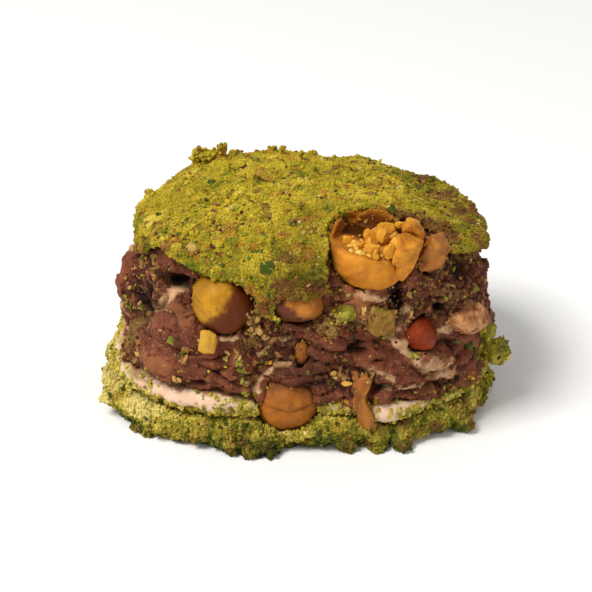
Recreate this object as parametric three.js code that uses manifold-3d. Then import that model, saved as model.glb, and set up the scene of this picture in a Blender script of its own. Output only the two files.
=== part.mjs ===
// A square-cut piece of layered lokum. From the underside up: a bed of ground pistachio, a sheet of white
// nougat, a thick chocolate filling with hazelnuts and nougat pressed into it, and a domed skin rolled in
// ground pistachio, which the knife has dragged down over the cut faces. One large hazelnut is broken open at
// the upper right. Millimetres, +Z up. The origin is the middle of the flat underside, and the face with the
// open nut looks along -Y.
import * as THREE from "three";
import { ImprovedNoise } from "three/addons/math/ImprovedNoise.js";
import { mergeVertices } from "three/addons/utils/BufferGeometryUtils.js";
import Module from "manifold-3d";

const wasm = await Module();
wasm.setup();
const { Manifold, Mesh: SolidMesh } = wasm;

// --------------------------------------------------------------------------------------- driving sizes, mm
const WIDTH = 58.6; // along X, over the bed of pistachio
const DEPTH = 43; // along Y
const CROWN = 32.4; // underside to the top of the skin, without its crumbs
const PLAN_POWER = 2.7; // how square the plan is: 2 is an ellipse, 10 nearly a rectangle
const SEGMENTS = 52; // round the plan
const GAP = 0.35; // between neighbouring pieces
const ROOM = 0.6; // how much a kernel's room in the layers is larger all round, as the room has fewer faces

const BED_TOP = 4.4; // of the ground pistachio under the nougat
const NOUGAT_TOP = 7.3; // of the nougat sheet, at the middle
const NOUGAT_SLOPE = -0.055; // the sheet is thicker at the left end
const NOUGAT_INSET = 1.0; // from the bed's edge to the nougat's
const FILLING_INSET = 1.7; // from the bed's edge to the filling's
const FILLING_SHIFT = 1.3; // the filling has slid this far along X, and the nougat half as far

const SKIN = 2.2; // thickness of the domed skin at its rim
const CROWN_SHARE = 0.65; // its thickness at the crown, as a share of that
const SKIN_SHIFT = 2.5; // the skin has slid this far along X
const SKIN_HALF_WIDTH = 26.3;
const SKIN_HALF_DEPTH = 20.9;
const RIM_LEVEL = 28.2; // of the skin's lower edge, where it doesn't hang down
const LIP = 0.7; // how far the middle of the skin's edge stands below the rim
const DOME_INSET = SKIN + 2 * GAP; // from the skin's outer face to the filling under it
const SQUARENESS = 2.4; // of the dome in section, as PLAN_POWER is of the plan
const END_SQUARENESS = -0.4; // added to it at the left and right ends
const SHOULDER_SQUARENESS = -0.6; // and at the far right-hand and near left-hand shoulders

// Uneven surfaces: how high each relief is, how far apart its lumps are, and where in the noise it is read.
const RELIEF = {
  bedTop: { height: 0.7, length: 8, level: 0 },
  bedEdge: { height: 0.9, length: 6, level: 0 },
  nougatTop: { height: 0.6, length: 11, level: 9 },
  nougatEdge: { height: 0.7, length: 7, level: 20 },
  crown: { height: 0.9, length: 12, level: 40 },
  lumps: { height: 0.9, length: 3.4, level: 70 },
  crags: { height: 1.5, length: 7, level: 60 },
  fineCrags: { height: 1.1, length: 3.1, level: 80 },
};
const RAGGED_RIM = { height: 0.5, waves: 5, level: 3 }; // the skin's lower edge, round the piece
const LUMPS_FADE = 4; // the power by which the skin's lumps fade towards its crown
const CRAG_EASE = 8; // the crags grow to their full depth over 1 / CRAG_EASE of the side's height
const CRAG_FOOT = 0.4; // the share of them that is left at the foot
const WALL_LEAN = 3; // the power by which the filling's side leans in towards its top

// Where the skin hangs below its rim: degrees round the piece (-90 is the front), half-width in degrees and
// drop.
const TONGUES = [
  { at: -150, width: 13, drop: -1.8 },
  { at: -122, width: 12, drop: 2.4 },
  { at: -105, width: 9, drop: 7.4 },
  { at: -86, width: 11, drop: 3.6 },
  { at: -42, width: 17, drop: -2.2 },
  { at: -14, width: 13, drop: 1.8 },
  { at: 12, width: 15, drop: 3.4 },
  { at: 52, width: 11, drop: 2.2 },
  { at: 88, width: 13, drop: 5.2 },
  { at: 124, width: 10, drop: 3.0 },
  { at: 158, width: 14, drop: 4.6 },
  { at: 198, width: 12, drop: 2.4 },
];

// Where the skin is torn away over the open hazelnut.
const TEARS = [
  { at: [11.2, -19.5, 28.2], size: [7.3, 13.6, 7.0] },
  { at: [17.0, -17.6, 29.8], size: [5.2, 8.8, 5.4] },
];

// The far shoulders of the skin have sunk: the middle of each, how far it reaches and how deep it is.
const SUNK = [
  { x: 22, y: 12, reach: 12, depth: 3.6 },
  { x: -22, y: 12, reach: 9, depth: 1.8 },
];

// Folds where the filling's layers part: degrees round the piece, half-width, level, half-height and depth.
const FOLDS = [
  { at: -148, width: 24, level: 14.6, height: 1.3, depth: 2.3 },
  { at: -35, width: 20, level: 12.4, height: 1.1, depth: 1.3 },
  { at: -75, width: 34, level: 17.2, height: 1.0, depth: 0.8 },
  { at: 70, width: 34, level: 15.2, height: 1.3, depth: 1.6 },
  { at: 128, width: 22, level: 20.4, height: 1.1, depth: 1.3 },
  { at: 5, width: 24, level: 16.6, height: 1.2, depth: 1.6 },
  { at: 180, width: 20, level: 11.2, height: 1.0, depth: 1.3 },
  { at: -165, width: 25, level: 24.6, height: 1.5, depth: 2.0 },
];

// Small holes that the knife tore open in the filling.
const HOLES = [
  { at: [-27.0, -9.4, 12.2], size: [4.2, 7.0, 1.2], turn: [-27, 0, 0] },
  { at: [-21.6, -15.4, 19.0], size: [3.4, 3.2, 2.5] },
  { at: [-16.4, -18.9, 25.4], size: [3.0, 2.6, 1.2] },
  { at: [20.6, -17.8, 25.1], size: [1.6, 2.2, 1.1] },
  { at: [12.4, 19.8, 19.4], size: [2.8, 2.6, 1.5] },
  { at: [-26.2, 8.2, 20.2], size: [2.2, 2.8, 1.6] },
  { at: [28.4, -2.4, 13.4], size: [2.2, 2.4, 1.3] },
];

// Hazelnut kernels: centre, half-axes, turn in degrees about X, Y and Z, and how far the tip stands out. A
// broken kernel has a round scoop or a square notch taken out of it, placed in the kernel's own frame.
const KERNELS = {
  hazelnut_low: { at: [-1.1, -16.8, 6.2], size: [5.0, 5.1, 4.8], turn: [70, 0, 6], tip: 0.05 },
  hazelnut_left: { at: [-10.1, -17.2, 21.8], size: [4.3, 4.3, 4.6], turn: [0, -24, 0], tip: 0.08 },
  hazelnut_middle: { at: [-0.1, -17.7, 22.0], size: [4.1, 3.2, 2.8], turn: [0, 0, 0], tip: 0.06 },
  hazelnut_open: {
    at: [9.9, -13.8, 28.6],
    size: [5.6, 6.8, 5.6],
    turn: [0, 0, -18],
    tip: 0.02,
    notch: { at: [1.9, -3.3, 4.3], size: [5.8, 8.2, 3.4], turn: [-4, 8, 0] },
  },
  hazelnut_red: { at: [17.3, -17.6, 17.2], size: [2.5, 2.6, 2.5], turn: [0, 0, 0], tip: 0.12 },
  kernel_slip: { at: [0.8, -18.6, 14.6], size: [1.0, 1.0, 2.1], turn: [0, 4, 0], tip: 0 },
  hazelnut_back_low: { at: [-12.6, 15.8, 11.4], size: [4.5, 4.6, 4.4], turn: [-60, 20, 0], tip: 0.06 },
  hazelnut_back_high: { at: [2.6, 16.6, 21.2], size: [4.4, 4.2, 4.7], turn: [0, 24, 0], tip: 0.08 },
  hazelnut_back_right: {
    at: [16.4, 14.6, 11.8],
    size: [4.4, 4.4, 4.2],
    turn: [0, 0, 0],
    tip: 0.06,
    scoop: { at: [0.6, 3.0, 1.4], size: [3.0, 3.0, 2.6] },
  },
  hazelnut_side_left: { at: [-22.4, 5.6, 15.8], size: [4.3, 4.6, 4.3], turn: [0, -70, 0], tip: 0.06 },
  hazelnut_side_right: { at: [23.6, 6.4, 17.6], size: [4.2, 4.5, 4.4], turn: [0, 80, 10], tip: 0.07 },
};

const KERNEL_RELIEF = { height: 0.03, length: 0.8, level: 0 }; // on a kernel of radius 1
const TIP_SHARPNESS = 4;

// A lump of the white nougat that was folded into the filling.
const NOUGAT_LUMP = { at: [24.0, -13.9, 17.6], size: [3.9, 2.8, 2.3], turn: [0, 14, 24], tip: 0.1 };

// Angular pieces that broke off kernels, and bits of pistachio as large: centre, half-sizes, turn in degrees.
const SHARDS = {
  shard_wedge: { at: [14.3, -17.4, 28.9], size: [1.9, 2.0, 3.5], turn: [10, 24, 8] },
  shard_right: { at: [18.6, -16.0, 28.8], size: [1.6, 1.9, 2.8], turn: [6, 32, -8] },
  shard_upper: { at: [16.2, -14.4, 31.0], size: [1.1, 1.5, 2.5], turn: [18, -28, 0] },
  shard_block: { at: [11.4, -16.4, 31.0], size: [1.1, 1.3, 1.5], turn: [14, 14, 20] },
  sliver: { at: [9.5, -20.3, 7.9], size: [1.7, 1.1, 4.4], turn: [-8, -4, 0] },
  chip_yellow: { at: [-12.2, -20.3, 17.3], size: [1.2, 0.6, 1.8], turn: [0, 10, -12] },
  pistachio_bit: { at: [11.6, -19.2, 20.0], size: [2.2, 1.2, 1.9], turn: [0, 12, 0] },
};

// How far in the points of a broken block lie, as shares of its half-size.
const SHARD_EDGES = { least: 0.78, most: 1.12, corner: 0.78 };
const CRUMB_EDGES = { least: 0.55, most: 1.15 };
// A crumb's half-length, as a share of its radius, and its half-width and half-height, as shares of that.
const CRUMB_SHAPE = { length: 0.75, width: [0.6, 1], height: [0.7, 1.1] };

// Crumbs of pistachio that stand out of a face: how many, and their radius from smallest to largest.
const SKIN_CRUMBS = { count: 44, radius: [0.9, 1.4], reach: 84 }; // down to 84 degrees from the crown
const CRUMB_LIFT = 0.6; // of a skin crumb's middle over the face, so that it stays out of the filling
const BED_CRUMBS = { count: 36, radius: [1.1, 1.9] };
const CRUMB_SINK = 0.4; // of a bed crumb's middle inside the bed's edge
const FILLING_CRUMBS = { count: 20, radius: [0.8, 1.4], from: 0.12, to: 0.9 }; // of the side's height

// Single crumbs that stand out from the rest.
const CREST_CRUMBS = [
  { at: [-15.6, 14.6, 31.8], radius: 1.5 },
  { at: [-13.6, 14.8, 31.4], radius: 1.2 },
  { at: [-11.6, 14.6, 32.2], radius: 1.6 },
  { at: [-2.4, 14.2, 32.4], radius: 1.1 },
  { at: [-19.8, 9.6, 31.0], radius: 1.0 },
];
const FOOT_CRUMBS = [
  { at: [-21.4, -16.8, 1.0], radius: 1.6 },
  { at: [-9.2, -21.4, 0.9], radius: 1.7 },
  { at: [-6.6, -21.6, 0.9], radius: 2.2 },
  { at: [-4.2, -21.5, 0.9], radius: 2.1 },
  { at: [7.2, -21.2, 0.9], radius: 1.6 },
  { at: [15.4, -20.6, 1.0], radius: 1.7 },
  { at: [20.4, -18.6, 1.1], radius: 1.8 },
  { at: [24.2, -15.6, 1.2], radius: 1.6 },
];
const FILLING_BITS = [
  { at: [29.2, -8.8, 9.4], radius: 2.4 },
  { at: [28.2, -8.6, 12.9], radius: 1.4 },
  { at: [6.6, -20.2, 21.2], radius: 1.5 },
];

// Each set of random draws starts from its own number. The shards take this one and those after it.
const SEEDS = { skin: 3, bed: 4, foot: 5, filling: 8, fillingBits: 9, shards: 11, crest: 20 };
const GROUND_HALF = 60; // of the block below the underside that everything is cut off by

const COLOURS = {
  pistachio: 0xa6902c,
  bed: 0x8b8136,
  nougat: 0xd3aa84,
  chocolate: 0x6e4030,
  kernel: 0xc2832a,
  toasted: 0x9c6428,
  red: 0x74331c,
};
const ROUGHNESS = 0.7;

// ------------------------------------------------------------------------------------------- small helpers
const noise = new ImprovedNoise();
const { sin, cos, abs, max, min, PI } = Math;
const { degToRad, radToDeg, lerp } = THREE.MathUtils;

// Numbers from 0 to 1, the same ones every time for a seed.
function seeded(seed) {
  let state = seed;
  return () => {
    state = (state + 0x6d2b79f5) | 0;
    let t = Math.imul(state ^ (state >>> 15), 1 | state);
    t = (t + Math.imul(t ^ (t >>> 7), 61 | t)) ^ t;
    return ((t ^ (t >>> 14)) >>> 0) / 4294967296;
  };
}

function relief({ height, length, level }, x, y, z = 0) {
  return height * noise.noise(x / length, y / length, (z + level) / length);
}

// A bump of height 1 at the angle `at`, fading over `width`, both in degrees.
function bumpAt(theta, at, width) {
  const turn = ((((radToDeg(theta) - at) % 360) + 540) % 360) - 180;
  return Math.exp(-((turn / width) ** 2));
}

function solidOf(geometry) {
  geometry.deleteAttribute("normal");
  geometry.deleteAttribute("uv");
  const merged = mergeVertices(geometry, 1e-4);
  return new Manifold(
    new SolidMesh({
      numProp: 3,
      vertProperties: new Float32Array(merged.attributes.position.array),
      triVerts: new Uint32Array(merged.index.array),
    }),
  );
}

function geometryOf(solid) {
  const { vertProperties, triVerts } = solid.getMesh();
  const geometry = new THREE.BufferGeometry();
  geometry.setAttribute("position", new THREE.BufferAttribute(new Float32Array(vertProperties), 3));
  geometry.setIndex(new THREE.BufferAttribute(new Uint32Array(triVerts), 1));
  geometry.computeVertexNormals();
  return geometry;
}

// Cutting can leave loose scraps: this keeps the main body.
function mainBody(solid) {
  return solid.decompose().reduce((a, b) => (b.volume() > a.volume() ? b : a));
}

// One body of all the pieces, less all the hollows.
function fused(pieces, hollows) {
  return mainBody(Manifold.union(pieces).subtract(Manifold.union(hollows)));
}

function placed(geometry, { at, size = [1, 1, 1], turn = [0, 0, 0] }) {
  const matrix = new THREE.Matrix4().compose(
    new THREE.Vector3(...at),
    new THREE.Quaternion().setFromEuler(new THREE.Euler(...turn.map(degToRad))),
    new THREE.Vector3(...size),
  );
  return geometry.clone().applyMatrix4(matrix);
}

function ball(place, detail = 2) {
  return solidOf(placed(new THREE.IcosahedronGeometry(1, detail), place));
}

function block(place) {
  return solidOf(placed(new THREE.BoxGeometry(2, 2, 2), place));
}

// ------------------------------------------------------------------------------------ layers, ring by ring
// Distance from the middle to the edge of a rounded rectangle, in the direction theta.
function planRadius(theta, halfWidth, halfDepth) {
  const across = abs(cos(theta)) / halfWidth;
  const along = abs(sin(theta)) / halfDepth;
  return (across ** PLAN_POWER + along ** PLAN_POWER) ** (-1 / PLAN_POWER);
}

function polar(theta, radius, z, shift = 0) {
  return new THREE.Vector3(shift + radius * cos(theta), radius * sin(theta), z);
}

// A closed body of rings round the Z axis, between two poles. place() gives each ring's point for an angle.
function ringBody(rings, place) {
  const lathe = new THREE.LatheGeometry(
    rings.map((_, k) => new THREE.Vector2(1, k)),
    SEGMENTS,
  );
  for (let i = 0; i <= SEGMENTS; i++) {
    const theta = ((i % SEGMENTS) * 2 * PI) / SEGMENTS;
    rings.forEach((ring, k) => {
      const p = place(theta, ring);
      lathe.attributes.position.setXYZ(i * rings.length + k, p.x, p.y, p.z);
    });
  }
  return solidOf(lathe);
}

const bedTop = (x, y) => BED_TOP + relief(RELIEF.bedTop, x, y);
const nougatTop = (x, y) => NOUGAT_TOP + NOUGAT_SLOPE * x + relief(RELIEF.nougatTop, x, y);

function bedRadius(theta, z) {
  const edge = planRadius(theta, WIDTH / 2, DEPTH / 2);
  const p = polar(theta, edge, z);
  return edge + relief(RELIEF.bedEdge, p.x, p.y, p.z);
}

// The bed of ground pistachio: flat underneath, with a rounded, uneven edge.
function bedBody() {
  const rings = [
    { share: 0, level: 0 },
    { share: 0.93, level: 0 },
    { share: 0.985, level: 0.3 },
    { share: 1, level: 0.62 },
    { share: 0.975, level: 0.9 },
    { share: 0.94, level: 1 },
    { share: 0.5, level: 1 },
    { share: 0, level: 1 },
  ];
  return ringBody(rings, (theta, { share, level }) => {
    const p = polar(theta, share * bedRadius(theta, level * BED_TOP), 0);
    p.z = level * bedTop(p.x, p.y);
    return p;
  });
}

function nougatRadius(theta, z) {
  const edge = planRadius(theta, WIDTH / 2 - NOUGAT_INSET, DEPTH / 2 - NOUGAT_INSET);
  const p = polar(theta, edge, z);
  return edge + relief(RELIEF.nougatEdge, p.x, p.y, p.z);
}

function nougatBody() {
  const rings = [
    { share: 0, level: 0 },
    { share: 0.5, level: 0 },
    { share: 0.94, level: 0 },
    { share: 1, level: 0.3 },
    { share: 0.995, level: 0.75 },
    { share: 0.97, level: 1 },
    { share: 0.5, level: 1 },
    { share: 0, level: 1 },
  ];
  return ringBody(rings, (theta, { share, level }) => {
    const radius = share * nougatRadius(theta, level * (NOUGAT_TOP - BED_TOP));
    const p = polar(theta, radius, 0, FILLING_SHIFT / 2);
    p.z = lerp(bedTop(p.x, p.y) + GAP, nougatTop(p.x, p.y), level);
    return p;
  });
}

function hang(theta) {
  return TONGUES.reduce((sum, t) => sum + t.drop * bumpAt(theta, t.at, t.width), 0);
}

// A point of the skin's dome. phi is 0 at the crown and PI / 2 at the rim, and inset is how far inside the
// outer face it lies. The shoulders are rounder at the left and right than at the front and back.
function domePoint(theta, phi, inset) {
  const power =
    SQUARENESS + END_SQUARENESS * cos(theta) ** 2 + SHOULDER_SQUARENESS * sin(theta) * cos(theta);
  const share = sin(phi) ** (2 / power);
  const rise = cos(phi) ** (2 / power);
  const edge = planRadius(theta, SKIN_HALF_WIDTH, SKIN_HALF_DEPTH) - inset;
  const p = polar(theta, edge * share, 0, SKIN_SHIFT);
  const { waves, level } = RAGGED_RIM;
  const ragged = RAGGED_RIM.height * noise.noise(waves * cos(theta), waves * sin(theta), level);
  const drop = hang(theta);
  const rim = RIM_LEVEL + ragged * (1 - rise) - drop * (1 - rise) ** (drop > 0 ? 2 : 1);
  const sunk = SUNK.reduce((sum, { x, y, reach, depth }) => {
    return sum + depth * Math.exp(-((p.x - x) ** 2 + (p.y - y) ** 2) / reach ** 2);
  }, 0);
  const lumps = inset > 0 ? 0 : share ** LUMPS_FADE * relief(RELIEF.lumps, p.x, p.y);
  const height = CROWN - CROWN_SHARE * inset - RIM_LEVEL - sunk + lumps + relief(RELIEF.crown, p.x, p.y);
  p.z = rim + height * rise;
  return p;
}

const DOME_STEPS = [90, 83, 74, 62, 48, 33, 17, 0].map(degToRad);
const UNDER_STEPS = [90, 74, 48, 17, 0].map(degToRad);

function skinBody() {
  const under = UNDER_STEPS.map((phi) => ({ phi, inset: SKIN })).reverse();
  const lip = { phi: PI / 2, inset: SKIN / 2, lower: LIP };
  const outer = DOME_STEPS.map((phi) => ({ phi, inset: 0 }));
  return ringBody([...under, lip, ...outer], (theta, { phi, inset, lower = 0 }) => {
    const p = domePoint(theta, phi, inset);
    p.z -= lower;
    return p;
  });
}

// How far the filling's side stands out at p: crags at two scales, less the folds.
function crag(theta, p) {
  const rough = relief(RELIEF.crags, p.x, p.y, p.z) + relief(RELIEF.fineCrags, p.x, p.y, p.z);
  const folded = FOLDS.reduce((sum, f) => {
    const near = Math.exp(-(((p.z - f.level) / f.height) ** 2));
    return sum + f.depth * near * bumpAt(theta, f.at, f.width);
  }, 0);
  return rough - folded;
}

const SIDE_STEPS = [0, 0.09, 0.2, 0.32, 0.44, 0.56, 0.68, 0.79, 0.9, 1];

// The filling's side wall at a share of the way from the nougat to the skin's rim.
function fillingSide(theta, share) {
  const edge = planRadius(theta, WIDTH / 2 - FILLING_INSET, DEPTH / 2 - FILLING_INSET);
  const foot = polar(theta, edge, 0, FILLING_SHIFT);
  const top = domePoint(theta, PI / 2, DOME_INSET);
  const low = nougatTop(foot.x, foot.y) + GAP;
  const p = foot.clone().lerp(top, share ** WALL_LEAN);
  p.z = lerp(low, top.z - LIP - GAP, share);
  const out = crag(theta, p) * min(1, CRAG_EASE * (1 - share), CRAG_FOOT + CRAG_EASE * share);
  return p.add(polar(theta, out, 0));
}

function fillingBody() {
  const under = [0, 0.5, 0.94].map((share) => ({ under: share }));
  const side = SIDE_STEPS.map((share) => ({ side: share }));
  const dome = UNDER_STEPS.map((phi) => ({ dome: phi }));
  return ringBody([...under, ...side, ...dome], (theta, ring) => {
    if ("side" in ring) return fillingSide(theta, ring.side);
    if ("dome" in ring) return domePoint(theta, ring.dome, DOME_INSET);
    const foot = fillingSide(theta, 0);
    const p = new THREE.Vector3(foot.x * ring.under, foot.y * ring.under, 0);
    p.z = nougatTop(p.x, p.y) + GAP;
    return p;
  });
}

// ------------------------------------------------------------------------------ kernels, shards and crumbs
// A round kernel with a low point at +Z, grown by `extra` mm all over.
function kernelShape({ size, tip }, extra = 0, detail = 2) {
  const geometry = new THREE.IcosahedronGeometry(1, detail);
  const position = geometry.attributes.position;
  const p = new THREE.Vector3();
  for (let i = 0; i < position.count; i++) {
    p.fromBufferAttribute(position, i);
    p.multiplyScalar(1 + tip * max(0, p.z) ** TIP_SHARPNESS + relief(KERNEL_RELIEF, p.x, p.y, p.z));
    position.setXYZ(i, p.x, p.y, p.z);
  }
  return geometry.scale(...size.map((half) => half + extra));
}

// A kernel in its place, grown by `extra`, without what broke out of it.
function kernelSolid(spec, extra = 0) {
  const less = (tool) => ({ ...tool, size: tool.size.map((half) => half - extra) });
  let solid = solidOf(kernelShape(spec, extra));
  if (spec.scoop) solid = mainBody(solid.subtract(ball(less(spec.scoop), 1)));
  if (spec.notch) solid = mainBody(solid.subtract(block(less(spec.notch))));
  return solidOf(placed(geometryOf(solid), { at: spec.at, turn: spec.turn }));
}

// The room that a whole kernel takes in the layers round it.
function kernelRoom(spec) {
  return solidOf(placed(kernelShape(spec, ROOM, 1), { at: spec.at, turn: spec.turn }));
}

// A block of half-size 1, with `steps` faces along an edge. Each coordinate of its points is scaled unevenly,
// from `least` to `most`, and its corners are pulled in by `corner` as well.
function brokenBlock(steps, { least, most, corner = 1 }, random) {
  const grid = new THREE.BoxGeometry(2, 2, 2, steps, steps, steps);
  grid.deleteAttribute("normal");
  grid.deleteAttribute("uv");
  const geometry = mergeVertices(grid, 1e-4);
  const position = geometry.attributes.position;
  for (let i = 0; i < position.count; i++) {
    const p = new THREE.Vector3().fromBufferAttribute(position, i);
    const isCorner = min(abs(p.x), abs(p.y), abs(p.z)) === 1;
    const pull = () => (isCorner ? corner : 1) * lerp(least, most, random());
    position.setXYZ(i, p.x * pull(), p.y * pull(), p.z * pull());
  }
  return geometry;
}

// An angular piece in its place, grown by `extra`.
function shardSolid({ at, size, turn }, seed, extra = 0) {
  const geometry = brokenBlock(2, SHARD_EDGES, seeded(seed));
  geometry.scale(...size.map((half) => half + extra));
  return solidOf(placed(geometry, { at, turn }));
}

// One chopped crumb, partly sunk in the face that it lies on.
function crumb({ at, radius }, random) {
  const turn = [360 * random(), 360 * random(), 360 * random()];
  const { length, width, height } = CRUMB_SHAPE;
  const shares = [1, lerp(...width, random()), lerp(...height, random())];
  const size = shares.map((share) => length * radius * share);
  return solidOf(placed(brokenBlock(1, CRUMB_EDGES, random), { at, size, turn }));
}

// Crumbs spread evenly over a face. place(u, v) gives a point of the face for two numbers from 0 to 1, and
// allowed() says whether a crumb may stand there.
function crumbs({ count, radius }, seed, place, allowed) {
  const random = seeded(seed);
  const golden = (Math.sqrt(5) - 1) / 2;
  const made = [];
  for (let k = 0; k < count; k++) {
    const p = place((k * golden) % 1, (k + 0.5) / count, random);
    const r = lerp(radius[0], radius[1], random() ** 2);
    if (allowed(p, r)) made.push(crumb({ at: p.toArray(), radius: r }, random));
  }
  return made;
}

// --------------------------------------------------------------------------------- what is pressed into it
const kernels = Object.entries({ ...KERNELS, nougat_lump: NOUGAT_LUMP }).map(([name, spec]) => ({
  name,
  solid: kernelSolid(spec),
  room: kernelRoom(spec),
  shell: kernelSolid(spec, GAP),
}));

// Each shard is cut back from the kernels and from the shards made before it.
const shards = [];
Object.entries(SHARDS).forEach(([name, spec], k) => {
  const seed = SEEDS.shards + k;
  const room = shardSolid(spec, seed, GAP);
  const others = Manifold.union([...kernels.map((kernel) => kernel.shell), ...shards.map((s) => s.room)]);
  shards.push({ name, room, solid: mainBody(shardSolid(spec, seed).subtract(others)) });
});

const pressedIn = [...kernels, ...shards];
const rooms = Manifold.union(pressedIn.map((piece) => piece.room));
const roomBoxes = pressedIn.map((piece) => {
  const box = piece.room.boundingBox();
  return new THREE.Box3(new THREE.Vector3(...box.min), new THREE.Vector3(...box.max));
});

function clearOfPieces(p, r) {
  return roomBoxes.every((box) => box.distanceToPoint(p) > r);
}

// ---------------------------------------------------------------------------------------------- the layers
function pistachioBed() {
  const onEdge = (u, v, random) => {
    const z = lerp(0, BED_TOP - BED_CRUMBS.radius[0], random());
    return polar(2 * PI * u, bedRadius(2 * PI * u, z) - CRUMB_SINK, z);
  };
  const belowNougat = (p, r) => clearOfPieces(p, r) && p.z + r < bedTop(p.x, p.y) + GAP / 2;
  const edge = crumbs(BED_CRUMBS, SEEDS.bed, onEdge, belowNougat);
  const random = seeded(SEEDS.foot);
  const foot = FOOT_CRUMBS.map((spec) => crumb(spec, random));
  const ground = block({ at: [0, 0, -GROUND_HALF], size: [GROUND_HALF, GROUND_HALF, GROUND_HALF] });
  return fused([bedBody(), ...edge, ...foot], [rooms, ground]);
}

function chocolateFilling() {
  const { from, to } = FILLING_CRUMBS;
  const onSide = (u, v, random) => fillingSide(2 * PI * u, lerp(from, to, random()));
  const rimLevel = (p) => domePoint(Math.atan2(p.y, p.x - SKIN_SHIFT), PI / 2, 0).z - LIP;
  const allowed = (p, r) => {
    const betweenLayers = p.z + r < rimLevel(p) - GAP && p.z - r > nougatTop(p.x, p.y) + GAP;
    return betweenLayers && clearOfPieces(p, r);
  };
  const chips = crumbs(FILLING_CRUMBS, SEEDS.filling, onSide, allowed);
  const random = seeded(SEEDS.fillingBits);
  const bits = FILLING_BITS.map((bit) => crumb(bit, random));
  const holes = HOLES.map((hole) => ball(hole, 1));
  return fused([fillingBody(), ...chips, ...bits], [rooms, ...holes]);
}

function pistachioSkin() {
  const reach = degToRad(SKIN_CRUMBS.reach) / (PI / 2);
  const onDome = (u, v) => domePoint(2 * PI * u, reach * Math.asin(Math.sqrt(v)), -CRUMB_LIFT);
  const scattered = crumbs(SKIN_CRUMBS, SEEDS.skin, onDome, clearOfPieces);
  const random = seeded(SEEDS.crest);
  const crest = CREST_CRUMBS.map((spec) => crumb(spec, random));
  const tears = TEARS.map((tear) => ball(tear));
  return fused([skinBody(), ...scattered, ...crest], [rooms, ...tears]);
}

// ----------------------------------------------------------------------------------------------- the piece
const group = new THREE.Group();

function add(name, solid, color) {
  const material = new THREE.MeshStandardMaterial({ color, roughness: ROUGHNESS, metalness: 0 });
  const mesh = new THREE.Mesh(geometryOf(solid), material);
  mesh.name = name;
  group.add(mesh);
}

add("pistachio_bed", pistachioBed(), COLOURS.bed);
add("nougat_sheet", mainBody(nougatBody().subtract(rooms)), COLOURS.nougat);
add("chocolate_filling", chocolateFilling(), COLOURS.chocolate);
add("pistachio_skin", pistachioSkin(), COLOURS.pistachio);

const OTHER_COLOURS = {
  nougat_lump: COLOURS.nougat,
  hazelnut_red: COLOURS.red,
  hazelnut_low: COLOURS.toasted,
  sliver: COLOURS.toasted,
  pistachio_bit: COLOURS.bed,
};
for (const { name, solid } of pressedIn) add(name, solid, OTHER_COLOURS[name] ?? COLOURS.kernel);

export default group;
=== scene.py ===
# The looks of a piece of layered chocolate hazelnut lokum: ground pistachio coat, craggy chocolate filling
# marbled with nougat, white nougat sheet, hazelnut kernels and loose crumbs. Shapes are worked out in
# millimetres and written to the meshes in metres.
import math
from itertools import product

import bmesh
import bpy
import numpy as np
from mathutils import Matrix, Vector
from mathutils.bvhtree import BVHTree


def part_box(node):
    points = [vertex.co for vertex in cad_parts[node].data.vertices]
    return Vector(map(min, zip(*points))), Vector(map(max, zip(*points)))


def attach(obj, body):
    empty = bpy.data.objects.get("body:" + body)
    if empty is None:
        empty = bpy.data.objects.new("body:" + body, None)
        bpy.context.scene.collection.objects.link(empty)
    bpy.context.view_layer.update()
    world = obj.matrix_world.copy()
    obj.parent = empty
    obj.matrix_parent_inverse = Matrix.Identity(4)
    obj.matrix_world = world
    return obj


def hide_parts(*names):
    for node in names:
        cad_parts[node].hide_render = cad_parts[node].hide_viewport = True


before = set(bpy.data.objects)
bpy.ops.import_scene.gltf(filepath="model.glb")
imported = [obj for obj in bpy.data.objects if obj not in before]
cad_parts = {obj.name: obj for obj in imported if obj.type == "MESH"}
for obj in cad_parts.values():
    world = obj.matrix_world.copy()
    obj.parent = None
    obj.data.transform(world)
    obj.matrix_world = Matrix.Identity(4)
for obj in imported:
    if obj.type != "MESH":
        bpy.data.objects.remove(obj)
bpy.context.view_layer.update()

MM = 0.001

# ---------------------------------------------------------------------------------- camera and stage
VIEW_HEIGHT = math.radians(27)
VIEW_DISTANCE = 212  # mm, from the point that the camera looks at
LOOK_AT = 14  # mm above the underside
LENS = 85

WHITE_FLOOR = (0.93, 0.93, 0.92)
DULL_FLOOR = tuple(0.98 * tone for tone in WHITE_FLOOR)
FLOOR_HALF = 3  # metres
SKY = (1.0, 0.99, 0.98)
SKY_STRENGTH = 0.5
# Soft lamps: name, place in metres, size, watts and colour.
LAMPS = [
    ("key", (-0.5, -0.34, 0.85), 0.4, 10, (1.0, 0.98, 0.95)),
    ("fill", (0.7, -0.6, 0.4), 0.7, 0.8, (1.0, 0.98, 0.96)),
]

# --------------------------------------------------------------------------- how fine the meshes are
# The voxels of each mesh in mm, and the rounds of smoothing that take its facets away.
FINENESS = {
    "skin": (0.31, 7),
    "bed": (0.36, 7),
    "sheet": (0.46, 3),
    "filling": (0.36, 2),
    "calm filling": (0.36, 26),
    "core": (0.8, 2),
    "kernel": (0.24, 5),
    "lump": (0.24, 3),
    "shard": (0.17, 1),
}

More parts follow.
